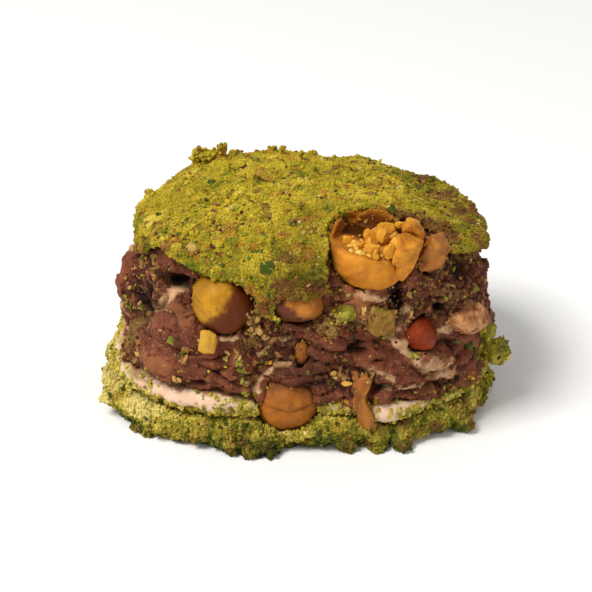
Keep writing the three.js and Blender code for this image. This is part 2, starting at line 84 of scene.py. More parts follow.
# ------------------------------------------------------------------------ features of the front face
# Places on the front face are (x, z) in mm. Humps stand out of it and hollows go in: place, half-sizes
# and height or depth.
HUMPS = [
    ((-18.2, 15.0), (5.4, 5.0), 1.3),
    ((-21.0, 24.6), (3.4, 1.9), 1.2),
    ((-15.6, 25.6), (2.2, 1.1), 0.6),
    ((-10.2, 12.6), (3.2, 2.6), 0.6),
    ((16.5, 13.6), (6.0, 2.2), 0.8),
    ((22.0, 11.2), (4.0, 2.0), 0.5),
    ((9.6, 11.6), (3.0, 1.6), 0.4),
    ((24.2, 23.0), (3.2, 3.4), 0.7),
]
HOLLOWS = [
    ((-23.1, 18.3), (2.1, 2.6), 3.4),
    ((-20.6, 20.6), (0.9, 2.0), 1.6),
    ((-16.4, 23.9), (2.3, 0.9), 2.4),
    ((-13.9, 24.4), (0.9, 0.6), 1.2),
    ((13.4, 23.6), (1.0, 3.6), 1.6),
    ((20.0, 20.6), (1.1, 0.9), 1.2),
    ((21.6, 19.6), (0.7, 0.9), 1.3),
    ((22.6, 24.8), (1.2, 2.4), 1.5),
    ((-14.0, 9.4), (0.8, 0.6), 1.1),
    ((-11.0, 8.6), (0.9, 0.6), 1.0),
    ((-17.0, 9.0), (2.6, 0.5), 0.8),
    ((20.6, 8.8), (3.4, 0.5), 0.9),
    ((2.6, 26.0), (1.0, 2.6), 0.9),
]
# Creases, where the filling is torn open along a line: half-width, depth and the line.
CREASES = [
    (0.5, 1.4, [(-22.0, 9.0), (-17.6, 9.2), (-13.4, 9.5)]),
    (0.4, 1.1, [(9.0, 10.1), (11.4, 9.7), (13.6, 9.8)]),
    (0.85, 1.4, [(13.2, 28.6), (13.6, 24.2), (14.4, 19.8)]),
    (0.4, 1.0, [(20.0, 8.3), (23.4, 7.8)]),
    (0.4, 1.0, [(-17.4, 21.4), (-19.6, 18.4), (-22.0, 17.2)]),
    (0.35, 0.8, [(-13.6, 12.6), (-9.4, 10.4), (-6.4, 11.2)]),
    (0.35, 0.8, [(13.6, 8.6), (17.0, 8.8), (20.4, 9.0)]),
]
# Ribbons: what they are made of, half-width, how far they stand out, and the line they follow.
RIBBONS = [
    ("nougat", 0.95, 0.2, [(-15.8, 23.4), (-16.9, 22.4), (-18.0, 21.0)]),
    ("nougat", 0.5, 0.3, [(-18.0, 21.0), (-19.2, 19.2), (-20.6, 17.0)]),
    ("toffee", 0.8, 0.2, [(-22.8, 15.4), (-21.4, 12.6), (-19.6, 11.4), (-17.4, 11.6)]),
    ("toffee", 1.1, 0.3, [(-16.8, 20.6), (-15.2, 19.4), (-13.4, 19.8)]),
    ("nougat", 0.55, 0.0, [(-10.2, 16.8), (-8.2, 17.2)]),
    ("toffee", 0.5, 0.3, [(-8.2, 15.4), (-7.8, 12.2), (-7.0, 8.8)]),
    ("nougat", 0.35, 0.3, [(-5.2, 14.6), (-3.2, 16.4), (-0.8, 17.4)]),
    ("nougat", 0.34, 0.4, [(-6.0, 8.8), (-4.6, 11.0), (-2.6, 12.8), (-0.8, 13.2)]),
    ("toffee", 1.2, 0.2, [(4.6, 24.2), (7.4, 23.2), (10.2, 23.0), (12.2, 22.6)]),
    ("nougat", 0.5, 0.0, [(8.4, 23.6), (10.2, 23.4), (12.0, 23.4)]),
    ("nougat", 0.75, 0.3, [(15.2, 21.2), (14.4, 20.0), (13.8, 18.8)]),
    ("nougat", 0.6, 0.4, [(12.4, 17.8), (14.2, 16.4), (15.2, 15.0), (16.6, 13.6)]),
    ("toffee", 1.9, 0.3, [(16.6, 13.6), (18.4, 12.6), (20.4, 11.6), (19.6, 9.8)]),
    ("nougat", 1.4, 1.0, [(17.8, 12.8), (20.0, 11.9), (20.0, 10.6), (21.2, 9.8)]),
    ("toffee", 0.8, 1.2, [(8.8, 13.4), (10.6, 12.8), (12.2, 11.9), (13.4, 11.2)]),
    ("nougat", 0.45, 0.1, [(10.4, 12.9), (12.2, 12.0), (13.2, 11.4)]),
    ("nougat", 0.3, 0.1, [(12.0, 9.6), (15.4, 9.2), (18.6, 9.6)]),
    ("nougat", 0.8, 0.2, [(20.6, 17.4), (23.6, 16.2), (26.4, 16.6)]),
    ("toffee", 0.5, 0.1, [(3.8, 21.6), (6.2, 20.0), (8.2, 20.6)]),
]
# The filling's front is crumbly round these places, and smooth fudge elsewhere: place and half-sizes.
CRUMBLY = [
    ((-3.6, 15.4), (4.6, 3.6)),
    ((22.6, 23.0), (5.0, 6.0)),
    ((15.4, 22.4), (3.0, 3.0)),
    ((-21.0, 23.0), (3.6, 3.0)),
    ((-24.0, 12.0), (2.6, 5.0)),
    ((5.6, 11.6), (2.4, 2.4)),
    ((3.6, 20.0), (3.0, 2.2)),
]
# Tan and olive dust lies here on the front: place, half-sizes and how much.
DUSTY = [
    ((6.0, 19.6), (5.0, 2.2), 0.6),
    ((12.0, 20.6), (2.4, 2.4), 0.5),
    ((-6.2, 19.4), (1.4, 3.0), 0.9),
    ((-24.5, 14.0), (1.8, 5.0), 0.5),
    ((-7.6, 11.0), (1.2, 3.6), 0.4),
]
# Painted shade on the filling's front: place, half-sizes and how much.
SHADY = [
    ((-1.0, 15.4), (4.4, 2.6), 0.4),
    ((2.4, 12.2), (3.6, 1.8), 0.3),
    ((1.4, 10.4), (3.4, 0.9), 0.5),
    ((4.7, 8.0), (1.1, 1.7), 0.5),
    ((8.4, 11.0), (3.0, 1.4), 0.2),
    ((4.0, 13.2), (4.4, 2.4), 0.22),
    ((8.0, 17.0), (4.0, 1.6), 0.36),
    ((24.0, 19.6), (3.4, 2.0), 0.3),
    ((16.0, 13.0), (11.0, 3.8), 0.18),
]
# The white of the sheet shows here on the front: place and half-sizes.
CLEAN = [
    ((-18.6, 7.4), (3.6, 1.0)),
    ((-14.2, 6.4), (4.4, 1.4)),
    ((12.8, 5.2), (3.4, 2.4)),
    ((17.4, 6.9), (2.4, 1.0)),
    ((22.4, 8.0), (2.0, 0.6)),
]
# Folds of the sheet that come out over the bed: place, half-sizes and how far.
SHEET_FOLDS = [
    ((12.6, 4.6), (2.6, 2.6), 1.5),
    ((17.0, 6.6), (3.0, 1.6), 0.8),
    ((-15.0, 7.0), (6.0, 1.6), 0.6),
]
# Pistachio chips that are one with the filling: middle and half-size.
FUSED_BITS = [
    ((29.2, -8.8, 9.4), 2.4),
    ((28.2, -8.6, 12.9), 1.4),
    ((6.6, -20.2, 21.2), 1.5),
]
# Single chips on the front: place, half-sizes across, up and out, lean in degrees, and tint.
GREEN_CHIPS = [
    ((-17.4, 16.6), (0.6, 1.1, 0.5), -15, 0.6),
    ((-16.0, 14.4), (0.6, 0.6, 0.4), 10, 0.2),
    ((-24.9, 16.9), (0.5, 0.6, 0.4), -20, 0.7),
    ((-24.4, 15.8), (0.5, 0.5, 0.4), 30, 0.5),
    ((-25.0, 15.0), (0.5, 0.6, 0.4), -10, 0.8),
    ((-24.5, 14.2), (0.4, 0.4, 0.3), 10, 0.6),
    ((-22.6, 16.0), (0.5, 0.6, 0.4), 20, 0.7),
    ((12.2, 17.6), (0.6, 0.4, 0.4), 20, 0.6),
    ((17.2, 17.0), (0.6, 0.5, 0.4), -30, 0.4),
    ((16.4, 14.6), (0.9, 0.4, 0.4), -20, 0.8),
    ((24.8, 13.0), (0.9, 0.9, 0.5), 0, 0.0),
    ((22.8, 14.6), (0.6, 0.7, 0.4), 0, 0.0),
    ((7.4, 17.4), (0.5, 0.6, 0.4), 0, 0.1),
    ((1.8, 12.6), (0.5, 0.4, 0.3), 0, 0.3),
    ((17.8, 24.6), (0.5, 0.5, 0.4), 30, 0.5),
    ((20.6, 22.4), (0.4, 0.6, 0.4), 10, 0.6),
    ((-14.0, 8.4), (0.5, 0.5, 0.4), 0, 0.6),
    ((26.0, 11.4), (0.7, 0.8, 0.5), 0, 0.1),
    ((-8.0, 14.0), (0.4, 0.7, 0.3), 20, 0.9),
    ((-7.6, 12.4), (0.5, 0.9, 0.4), 10, 1.0),
    ((-7.2, 10.5), (0.5, 0.9, 0.4), -10, 1.0),
    ((-7.0, 8.9), (0.6, 0.8, 0.4), 0, 0.9),
]
TAN_CHIPS = [
    ((-15.2, 15.6), (0.8, 0.6, 0.4), 10, 0.4),
    ((-15.4, 13.6), (0.5, 1.1, 0.4), -10, 0.5),
    ((-22.8, 13.2), (0.6, 0.6, 0.5), 0, 0.3),
    ((-24.8, 19.6), (0.5, 0.4, 0.4), 10, 0.6),
    ((-24.2, 18.7), (0.4, 0.4, 0.3), 30, 0.9),
    ((-17.0, 10.2), (0.7, 0.8, 0.5), 20, 0.7),
    ((-15.4, 9.4), (0.9, 0.6, 0.5), -30, 0.4),
    ((-9.8, 14.4), (0.6, 0.9, 0.4), 30, 0.9),
    ((-8.2, 14.8), (0.4, 0.9, 0.3), 10, 0.9),
    ((-6.4, 20.4), (0.7, 0.6, 0.4), 0, 0.7),
    ((-5.8, 18.8), (0.9, 0.5, 0.4), 20, 0.8),
    ((5.6, 11.2), (0.7, 0.9, 0.3), 30, 1.0),
    ((9.2, 21.6), (0.4, 0.8, 0.3), 15, 1.0),
    ((15.8, 20.8), (0.3, 1.2, 0.3), 25, 0.7),
    ((-2.4, 14.2), (0.8, 0.6, 0.4), -20, 0.3),
    ((3.6, 24.0), (0.5, 0.7, 0.3), 0, 0.4),
    ((3.7, 5.4), (0.5, 0.9, 0.4), -20, 1.0),
    ((4.1, 6.4), (0.4, 0.5, 0.3), 10, 0.8),
    ((-6.0, 21.6), (0.5, 0.7, 0.4), 0, 0.8),
    ((-5.4, 19.9), (0.7, 0.7, 0.5), 0, 0.9),
    ((-5.2, 18.3), (0.8, 0.6, 0.5), 20, 1.0),
    ((-4.2, 17.4), (0.8, 0.6, 0.5), -20, 0.9),
    ((-2.8, 16.8), (0.8, 0.5, 0.4), 10, 0.8),
]
# Splinters round the open kernel.
OPEN_CHIPS = [
    ((13.6, 35.9), (1.1, 0.4, 0.3), -40, 0.9),
    ((14.4, 34.4), (0.8, 0.5, 0.4), 10, 0.5),
    ((12.2, 33.8), (0.9, 0.6, 0.5), 30, 0.3),
    ((12.8, 32.6), (0.7, 1.1, 0.5), -20, 0.5),
    ((13.2, 31.0), (0.7, 1.1, 0.5), 15, 0.6),
    ((11.4, 32.4), (0.8, 0.9, 0.5), 40, 0.5),
    ((10.1, 31.5), (0.9, 0.8, 0.6), -30, 0.6),
    ((17.6, 34.1), (0.8, 0.5, 0.4), -20, 0.0),
    ((7.5, 29.9), (0.5, 0.5, 0.4), 10, 1.0),
    ((11.9, 30.4), (0.7, 0.9, 0.6), 20, 0.6),
    ((8.8, 30.8), (0.8, 0.6, 0.5), 60, 0.4),
    ((7.2, 30.9), (0.5, 0.4, 0.4), 30, 0.8),
    ((8.3, 30.2), (0.5, 0.5, 0.3), -20, 0.7),
    ((9.4, 30.0), (0.6, 0.4, 0.4), 15, 0.9),
    ((10.3, 30.2), (0.4, 0.5, 0.4), 50, 0.7),
    ((10.9, 29.4), (0.6, 0.5, 0.4), -30, 0.8),
    ((9.1, 31.6), (0.4, 0.4, 0.3), 0, 0.6),
    ((6.3, 32.2), (0.6, 0.4, 0.4), 40, 0.3),
    ((8.6, 29.6), (0.8, 0.5, 0.5), 10, 1.0),
    ((6.9, 31.4), (0.8, 0.6, 0.5), -10, 0.5),
    ((7.9, 30.9), (0.6, 0.7, 0.5), 40, 0.7),
    ((9.9, 29.3), (0.7, 0.5, 0.4), -40, 0.9),
    ((9.9, 32.3), (0.7, 0.9, 0.5), 20, 0.5),
    ((7.1, 35.7), (1.3, 1.1, 0.3), -40, 0.0),
    ((7.9, 35.4), (1.1, 1.1, 0.3), 20, 0.0),
    ((8.5, 36.1), (1.0, 0.8, 0.3), -30, 0.0),
]
GOLD_CHIPS = [
    ((6.8, 10.8), (0.8, 0.8, 0.7), 10, 0.9),
    ((24.8, 4.8), (1.1, 0.9, 0.8), 30, 0.4),
    ((-3.6, 12.8), (0.6, 0.6, 0.4), 0, 0.3),
]
# Chips on the skin, set in from above as the splinters are.
SKIN_GREENS = [
    ((-3.8, 27.2), (1.2, 0.9, 0.4), 0, 0.7),
    ((-12.5, 41.9), (0.6, 0.6, 0.3), 20, 0.6),
    ((-5.2, 30.0), (0.7, 0.6, 0.3), 40, 0.9),
    ((13.2, 36.4), (0.6, 0.8, 0.3), 10, 0.7),
]
SKIN_HUSKS = [
    ((7.1, 38.7), (0.8, 0.6, 0.3), 20, 1.0),
    ((12.0, 40.3), (0.7, 0.2, 0.2), -35, 0.0),
    ((-7.3, 42.9), (0.5, 0.35, 0.3), 0, 0.9),
    ((0.0, 46.3), (0.6, 0.4, 0.3), 10, 0.6),
    ((-12.0, 32.1), (0.3, 0.7, 0.3), 15, 0.0),
    ((-20.3, 34.0), (0.25, 0.8, 0.3), -10, 0.3),
    ((0.8, 34.9), (0.7, 0.5, 0.3), -20, 0.9),
]
SKIN_NUTS = [
    ((-17.6, 31.0), (0.7, 0.8, 0.4), 0, 0.3),
    ((-10.2, 29.5), (0.5, 0.4, 0.3), 0, 0.2),
    ((-14.4, 30.6), (0.8, 1.1, 0.4), 10, 0.9),
    ((-12.7, 33.1), (0.45, 0.4, 0.3), 0, 1.0),
    ((-2.1, 41.0), (0.4, 0.3, 0.3), 0, 1.0),
    ((1.2, 33.0), (0.4, 0.5, 0.3), 0, 0.8),
]
CREST_PLACE = (-14.5, 13.9, 31.3)  # the heap of crumbs on the crest
CREST_SPREAD = (1.0, 0.5, 0.55)
CREST_CRUMBS = 110
SKIN_LUMP = 1.6  # mm, from lump to lump of the skin's coat
SKIN_LUMP_SEED = 60
TORN_SKIN = ((17.0, -11.0), (6.5, 4.8))  # the skin is worn here, above the open kernel: (x, y), half-sizes
# Single rows of place, half-sizes and amount.
CRUMB_STRIP = ((-6.7, 19.6), (0.9, 3.4), 1.5)  # more crumbs lie over the left kernel's right edge
SHADED_BARE_LOBE = ((1.4, 27.0), (4.0, 6.0), 1)  # painted shade on the hanging lobe's side beside the open kernel, which is also a little bare
SHADED_BED = ((-4.0, 1.0), (13.0, 3.0), 1)  # painted shade on the bed's front
# The skin's hanging edge is drawn aside here: place, half-sizes, and how far along X and up.
DRAWN_EDGE = [
    ((-8.6, 22.6), (3.4, 4.2), (1.5, 0)),
    ((-24.6, 26.4), (4.6, 3.0), (0, -1.2)),
]
# The notch under the left lobe. Its height is at the cut face, and it rises so much for each mm of Y.
NOTCH = {"height": 19.8, "rise": -0.5, "half": 1.6, "depth": 1.5}
RECESS = 1.4  # how far the filling goes in under the skin's left edge
SHOULDER_SHIFT = (0.9, 0, 1.5)  # how far the right shoulder sinks in from its modelled place
CREST_DROP = 0.45  # how much lower the crest is than its modelled place
# Bands of x, y or z: where something begins, and where it is in full.
NOTCH_X = (-19, -23)
NOTCH_Y = (4, -6)
RECESS_X = (-18, -22)
SHOULDER_X = (12, 25)
SHOULDER_Z = (21, 31)
CREST = (29.5, 32)
UNDER_CREST = (32.5, 30)
SKIN_LOW = (31, 25)
SKIN_LOW_TINT = (31, 24)
SKIN_LUMPY = (28, 24)
SKIN_RIGHT = (10, 27)
FILLING_LOW = (15, 9)
FILLING_FOOT = (9, 6.5)
FOOT_CRUMBS = (9.5, 7)
SHEET_TOP = (7.6, 8.8)
SHEET_WHITE = (5.2, 6.4)
SHEET_FOOT = (6.4, 4.6)
SHEET_CRUMBS = (8.2, 5.4)
SHEET_LEFT = (2, -2)
SHEET_FAR_LEFT = (-9, -13)
BED_TOP = (3.4, 5.2)
BED_FOOT = (3.2, 0.3)
BED_SHADE = (2.6, 0.0)
BED_RIGHT = (4, 16)
BED_PALE_X = (-16, -22)
BED_PALE_Z = (1.0, 3.4)
FULL_HOLLOW = 1.6  # a hollow this deep gets the darkest painted shade, and so does a crease of the next depth
FULL_CREASE = 1.2
FILLING_GRAIN = (1.5, 3)  # the filling's crumbs: how far apart they are, and their seed
FILLING_RELIEF = (-4, 1.9)  # how far the filling's relief may go in and out
FRONT_DEPTH = -4  # the front's features are gone at this y, and in full FRONT_FADE in front of it
FRONT_FADE = 5
CUT_FACE = -18  # y of the front, roughly
OUTSIDE = -40  # y of a place well in front of it
CHIP_FALL = 0.5  # the chips on the skin and round the open kernel came down from above
# Seeds of the random draws. Each kind of crumb or chip has the next one.
CRUMB_SEED = 200
CHIP_SEED = 300
CREST_SEED = 350

# ----------------------------------------------------------------------------------- noise in arrays
def perlin(points, length, seed):
    """Soft noise, from about -1 to 1, with lumps `length` mm apart. length may differ along x, y and z."""
    rng = np.random.default_rng(seed)
    order = rng.permutation(256)
    slopes = rng.normal(size=(256, 3))
    slopes /= np.linalg.norm(slopes, axis=1)[:, None]
    place = points / np.array(length, float)
    cell = np.floor(place).astype(np.int64)
    inside = place - cell
    ease = inside**3 * (inside * (inside * 6 - 15) + 10)
    total = np.zeros(len(points))
    for corner in product((0, 1), repeat=3):
        i, j, k = (cell + corner).T
        which = order[(order[(order[i & 255] + j) & 255] + k) & 255]
        rise = ((inside - corner) * slopes[which]).sum(axis=1)
        total += rise * np.where(corner, ease, 1 - ease).prod(axis=1)
    return total * 1.6


def crumble(points, length, seed):
    """Packed crumbs `length` mm apart: each point's height on its crumb, 0 to 1, and the crumb's number."""
    rng = np.random.default_rng(seed)
    order = rng.permutation(256)
    middle = rng.random((256, 3))
    mark = rng.random(256)
    place = points / np.array(length, float)
    cell = np.floor(place).astype(np.int64)
    nearest = np.full(len(points), 9.0)
    number = np.zeros(len(points))
    for offset in product((-1, 0, 1), repeat=3):
        i, j, k = (cell + offset).T
        which = order[(order[(order[i & 255] + j) & 255] + k) & 255]
        gap = np.linalg.norm(cell + offset + middle[which] - place, axis=1)
        closer = gap < nearest
        number = np.where(closer, mark[which], number)
        nearest = np.where(closer, gap, nearest)
    return 1 - np.clip(nearest, 0, 1) ** 2, number


def step(low, high, value):
    """0 below low, 1 above high, and a smooth rise between them."""
    share = np.clip((value - low) / (high - low), 0, 1)
    return share * share * (3 - 2 * share)


# -------------------------------------------------------------------------------------- mesh helpers
def read(items, field):
    values = np.empty(len(items) * 3, np.float32)
    items.foreach_get(field, values)
    return values.reshape(-1, 3).astype(float)


def points_of(obj):
    return read(obj.data.vertices, "co")


def normals_of(obj):
    return read(obj.data.vertex_normals, "vector")


def write_points(obj, points):
    obj.data.vertices.foreach_set("co", points.astype(np.float32).ravel())
    obj.data.update()


def write_marks(obj, **marks):
    """Numbers for each point of the mesh, which a material reads by their names."""
    for name, values in marks.items():
        mark = obj.data.attributes.new(name, "FLOAT", "POINT")
        mark.data.foreach_set("value", np.asarray(values, np.float32))


def blend(obj, name, values, share):
    """Takes a mark towards other values, as far as share says at each point."""
    mark = obj.data.attributes[name]
    before = np.empty(len(share), np.float32)
    mark.data.foreach_get("value", before)
    mark.data.foreach_set("value", (before + (values - before) * share).astype(np.float32))


def applied(obj):
    """obj with its modifiers made part of its mesh."""
    shape = bpy.data.meshes.new_from_object(obj.evaluated_get(bpy.context.evaluated_depsgraph_get()))
    before = obj.data
    obj.modifiers.clear()
    obj.data = shape
    bpy.data.meshes.remove(before)
    return obj


def linked(name, data):
    """A new object in the scene, for a mesh, a lamp or a camera."""
    obj = bpy.data.objects.new(name, data)
    bpy.context.scene.collection.objects.link(obj)
    return obj


def new_object(name, bm):
    mesh = bpy.data.meshes.new(name)
    bm.to_mesh(mesh)
    bm.free()
    return linked(name, mesh)


def moulded(name, node, fineness):
    """A copy of a CAD node in mm, as an even mesh, with its facets smoothed away."""
    voxel, rounds = FINENESS[fineness]
    bm = bmesh.new()
    bm.from_mesh(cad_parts[node].data)
    bmesh.ops.remove_doubles(bm, verts=bm.verts, dist=1e-7)
    bmesh.ops.scale(bm, vec=Vector((1, 1, 1)) / MM, verts=bm.verts)
    obj = new_object(name, bm)
    remesh = obj.modifiers.new("even mesh", "REMESH")
    remesh.mode = "VOXEL"
    remesh.voxel_size = voxel
    remesh.use_smooth_shade = True
    smooth = obj.modifiers.new("no facets", "SMOOTH")
    smooth.factor = 0.5
    smooth.iterations = rounds
    return applied(obj)


def dressed(obj, slot, material, *nodes):
    """Finishes a piece: metres, material, the body that it rides and the CAD nodes it stands for. Its slot
    is not used.
    """
    obj.data.transform(Matrix.Scale(MM, 4))
    obj.data.materials.clear()
    obj.data.materials.append(material)
    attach(obj, "root")
    if nodes:
        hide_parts(*nodes)
    return obj


# ---------------------------------------------------------------------------------- material helpers
WHITE = (1.0, 1.0, 1.0, 1.0)
SOFT_COLOURS = (1.0, 0.55, 0.25)  # how far red, green and blue light go into soft food, as shares
SOFT_DEPTH = 1.2 * MM
COAT_ROUGHNESS = 0.25


def linear(code):
    """A colour from its usual six-digit code to the linear numbers that a shader takes."""
    shares = [int(code[i : i + 2], 16) / 255 for i in (0, 2, 4)]
    return tuple(c / 12.92 if c <= 0.04045 else ((c + 0.055) / 1.055) ** 2.4 for c in shares) + (1.0,)


class Nodes:
    """Adds and links the nodes of one tree. A colour may be given by its six-digit code."""

    def __init__(self, tree):
        self.tree = tree

    def add(self, kind, values=(), links=(), **settings):
        node = self.tree.nodes.new(kind)
        for key, value in settings.items():
            setattr(node, key, value)
        for key, value in dict(values).items():
            node.inputs[key].default_value = value
        for key, source in dict(links).items():
            self.tree.links.new(source, node.inputs[key])
        return node

    def feed(self, socket, value):
        """Links a socket to another node's output, or sets it to a number or a colour."""
        if isinstance(value, bpy.types.NodeSocket):
            self.tree.links.new(value, socket)
        else:
            socket.default_value = linear(value) if isinstance(value, str) else value

    def math(self, operation, a, b):
        node = self.add("ShaderNodeMath", operation=operation)
        self.feed(node.inputs[0], a)
        self.feed(node.inputs[1], b)
        return node.outputs[0]

    def mix(self, share, a, b, blend="MIX"):
        """Colour a, going to colour b as share goes from 0 to 1."""
        node = self.add("ShaderNodeMix", data_type="RGBA", blend_type=blend, clamp_factor=True)
        for index, value in ((0, share), (6, a), (7, b)):
            self.feed(node.inputs[index], value)
        return node.outputs[2]

    def laid(self, color, mask, amount, other, blend="MIX"):
        """A colour with another one laid over it where mask is 1, as thickly as amount says."""
        return self.mix(self.math("MULTIPLY", mask, amount), color, other, blend)

    def shaded(self, color, deep):
        """A colour that goes to its own deep tone where the mark "shade" is low, for painted shade."""
        return self.mix(1.0, color, self.mix(self.mark("shade"), deep, WHITE), "MULTIPLY")

    def mark(self, name):
        return self.add("ShaderNodeAttribute", attribute_name=name).outputs["Fac"]

    def between(self, value, low, high):
        node = self.add("ShaderNodeMapRange", {"From Min": low, "From Max": high}, {"Value": value})
        node.interpolation_type = "SMOOTHSTEP"
        return node.outputs["Result"]

    def around_zero(self, noise, amount):
        """Noise of 0 to 1 made to swing round zero, to make an edge uneven."""
        return self.math("MULTIPLY", self.math("SUBTRACT", noise, 0.5), amount)

    def marked(self, name, edge, low, high):
        """Where a mark is high, with an uneven edge."""
        return self.between(self.math("ADD", self.mark(name), edge), low, high)

    def texture(self, kind, size, **values):
        """A texture on Object coordinates, at a size in metres."""
        place = self.add("ShaderNodeTexCoord").outputs["Object"]
        return self.add(kind, values, {"Vector": place, "Scale": self.math("DIVIDE", 1.0, size)})

    def ramp(self, value, stops):
        """A colour for a number, from (place, colour code) stops."""
        node = self.add("ShaderNodeValToRGB", links={"Fac": value})
        band = node.color_ramp
        while len(band.elements) < len(stops):
            band.elements.new(0.5)
        for element, (place, code) in zip(band.elements, stops):
            element.position = place
            element.color = linear(code)
        return node.outputs["Color"]


def group(name, inputs, outputs):
    """A new node group: its inputs are numbers, and its outputs are of the given kinds."""
    tree = bpy.data.node_groups.new(name, "ShaderNodeTree")
    for label, value in inputs.items():
        socket = tree.interface.new_socket(label, in_out="INPUT", socket_type="NodeSocketFloat")
        socket.default_value = value
    for label, kind in outputs.items():
        tree.interface.new_socket(label, in_out="OUTPUT", socket_type=kind)
    nodes = Nodes(tree)
    return nodes, nodes.add("NodeGroupInput").outputs, nodes.add("NodeGroupOutput").inputs


def mottle_group():
    """Cloudy patches, 0 to 1, at a given size in metres, sharper as Contrast grows."""
    inputs = {"Size": 0.002, "Contrast": 2.0}
    nodes, given, out = group("cloudy patches", inputs, {"Patches": "NodeSocketFloat"})
    cloud = nodes.texture("ShaderNodeTexNoise", given["Size"], Detail=4.0, Roughness=0.62)
    swing = nodes.around_zero(cloud.outputs["Fac"], given["Contrast"])
    nodes.feed(out["Patches"], nodes.math("ADD", swing, 0.5))
    return nodes.tree


def packed_group():
    """Packed crumbs of a given size in metres: a number for each and the height on it, both 0 to 1."""
    outputs = {"Number": "NodeSocketFloat", "Height": "NodeSocketFloat"}
    nodes, given, out = group("packed crumbs", {"Size": 0.0006}, outputs)
    cells = nodes.texture("ShaderNodeTexVoronoi", given["Size"])
    number = nodes.add("ShaderNodeSeparateColor", (), {"Color": cells.outputs["Color"]})
    nodes.feed(out["Number"], number.outputs["Red"])
    nodes.feed(out["Height"], nodes.math("SUBTRACT", 1.0, cells.outputs["Distance"]))
    return nodes.tree


def relief_group():
    """Relief for a surface: fine noise at a given size in metres, with packed crumbs where Crumbs is 1."""
    inputs = {"Size": 0.0006, "Depth": 0.0001, "Crumbs": 0.0}
    nodes, given, out = group("fine relief", inputs, {"Normal": "NodeSocketVector"})
    fine = nodes.texture("ShaderNodeTexNoise", given["Size"], Detail=3.0, Roughness=0.55)
    cells = nodes.add("ShaderNodeGroup", (), {"Size": given["Size"]}, node_tree=PACKED)
    crumbs = nodes.math("MULTIPLY", cells.outputs["Height"], nodes.math("MULTIPLY", given["Crumbs"], 2.0))
    height = nodes.math("ADD", fine.outputs["Fac"], crumbs)
    bump = nodes.add("ShaderNodeBump", {"Strength": 1.0}, {"Height": height, "Distance": given["Depth"]})
    nodes.feed(out["Normal"], bump.outputs["Normal"])
    return nodes.tree


MOTTLE = mottle_group()
PACKED = packed_group()
RELIEF = relief_group()


def new_material(name, roughness, soft=0.0, coat=0.0, shine=0.5):
    """A material, its nodes and its shader."""
    material = bpy.data.materials.new(name)
    material.use_nodes = True
    nodes = Nodes(material.node_tree)
    shader = material.node_tree.nodes["Principled BSDF"]
    shader.inputs["Roughness"].default_value = roughness
    shader.inputs["Specular IOR Level"].default_value = shine
    if soft:
        shader.inputs["Subsurface Weight"].default_value = soft
        shader.inputs["Subsurface Radius"].default_value = SOFT_COLOURS
        shader.inputs["Subsurface Scale"].default_value = SOFT_DEPTH
    if coat:
        shader.inputs["Coat Weight"].default_value = coat
        shader.inputs["Coat Roughness"].default_value = COAT_ROUGHNESS
    return material, nodes, shader


def patches(nodes, size, contrast):
    values = {"Size": size * MM, "Contrast": contrast}
    return nodes.add("ShaderNodeGroup", values, node_tree=MOTTLE).outputs["Patches"]


def packed(nodes, size):
    """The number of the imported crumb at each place."""
    return nodes.add("ShaderNodeGroup", {"Size": size * MM}, node_tree=PACKED).outputs["Number"]


def roughen(nodes, shader, size, depth, crumbs=0.0):
    """Relief on a shader's surface. crumbs is a share, or a mark that says where the crumbs are."""
    relief = nodes.add("ShaderNodeGroup", {"Size": size * MM, "Depth": depth * MM}, node_tree=RELIEF)
    nodes.feed(relief.inputs["Crumbs"], crumbs)
    nodes.feed(shader.inputs["Normal"], relief.outputs["Normal"])


def paint(nodes, shader, color):
    nodes.feed(shader.inputs["Base Color"], color)


# --------------------------------------------------------------------------------- kinds of material
MEAL = [
    (0.0, "68741a"),
    (0.15, "8c8a1f"),
    (0.35, "a79728"),
    (0.6, "bca62e"),
    (0.85, "ceb93d"),
    (1.0, "dac860"),
]
BED_MEAL = [
    (0.0, "303e12"),
    (0.14, "5a641b"),
    (0.34, "8a822a"),
    (0.58, "ad9c38"),
    (0.8, "c8b64c"),
    (1.0, "dccb88"),
]
CRUMBLED = [
    (0.0, "271109"),
    (0.3, "472216"),
    (0.55, "643321"),
    (0.74, "82472d"),
    (0.86, "a6703c"),
    (0.94, "8e7729"),
    (1.0, "d19a61"),
]
# Lumps of the meal in another colour: where among the lumps' numbers they fade in, and the colour.
FLECKS = [(0.9, 0.93, "b2702a"), (0.13, 0.1, "5c6a1c"), (0.05, 0.03, "965a34")]


def ground_nut(name, stops, soft=0.08, packing=0.0, flecks=0.0):
    """Ground nut of one kind. Each crumb takes its colour from its own tint, and a solid bed of them, with
    packing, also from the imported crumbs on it. flecks is how far some lumps differ."""
    material, nodes, shader = new_material(name, roughness=0.85, soft=soft, shine=0.16)
    tint = nodes.mark("tint")
    if packing:
        tint = nodes.math("ADD", tint, nodes.around_zero(packed(nodes, 0.5), packing))
    color = nodes.ramp(tint, stops)
    if flecks:
        lumps = packed(nodes, 1.5)
        for low, high, code in FLECKS:
            color = nodes.laid(color, nodes.between(lumps, low, high), flecks, code)
    patch = patches(nodes, size=1.1, contrast=2.4)
    color = nodes.laid(color, patch, 0.4, "7c7420", "SOFT_LIGHT")
    color = nodes.shaded(color, "4a3d18")
    bare = nodes.marked("bare", nodes.math("MULTIPLY", patch, 0.5), 0.5, 0.9)
    paint(nodes, shader, nodes.laid(color, bare, 0.78, "6e4024"))
    roughen(nodes, shader, size=0.45, depth=0.055, crumbs=1.0 if packing else 0.0)
    return material


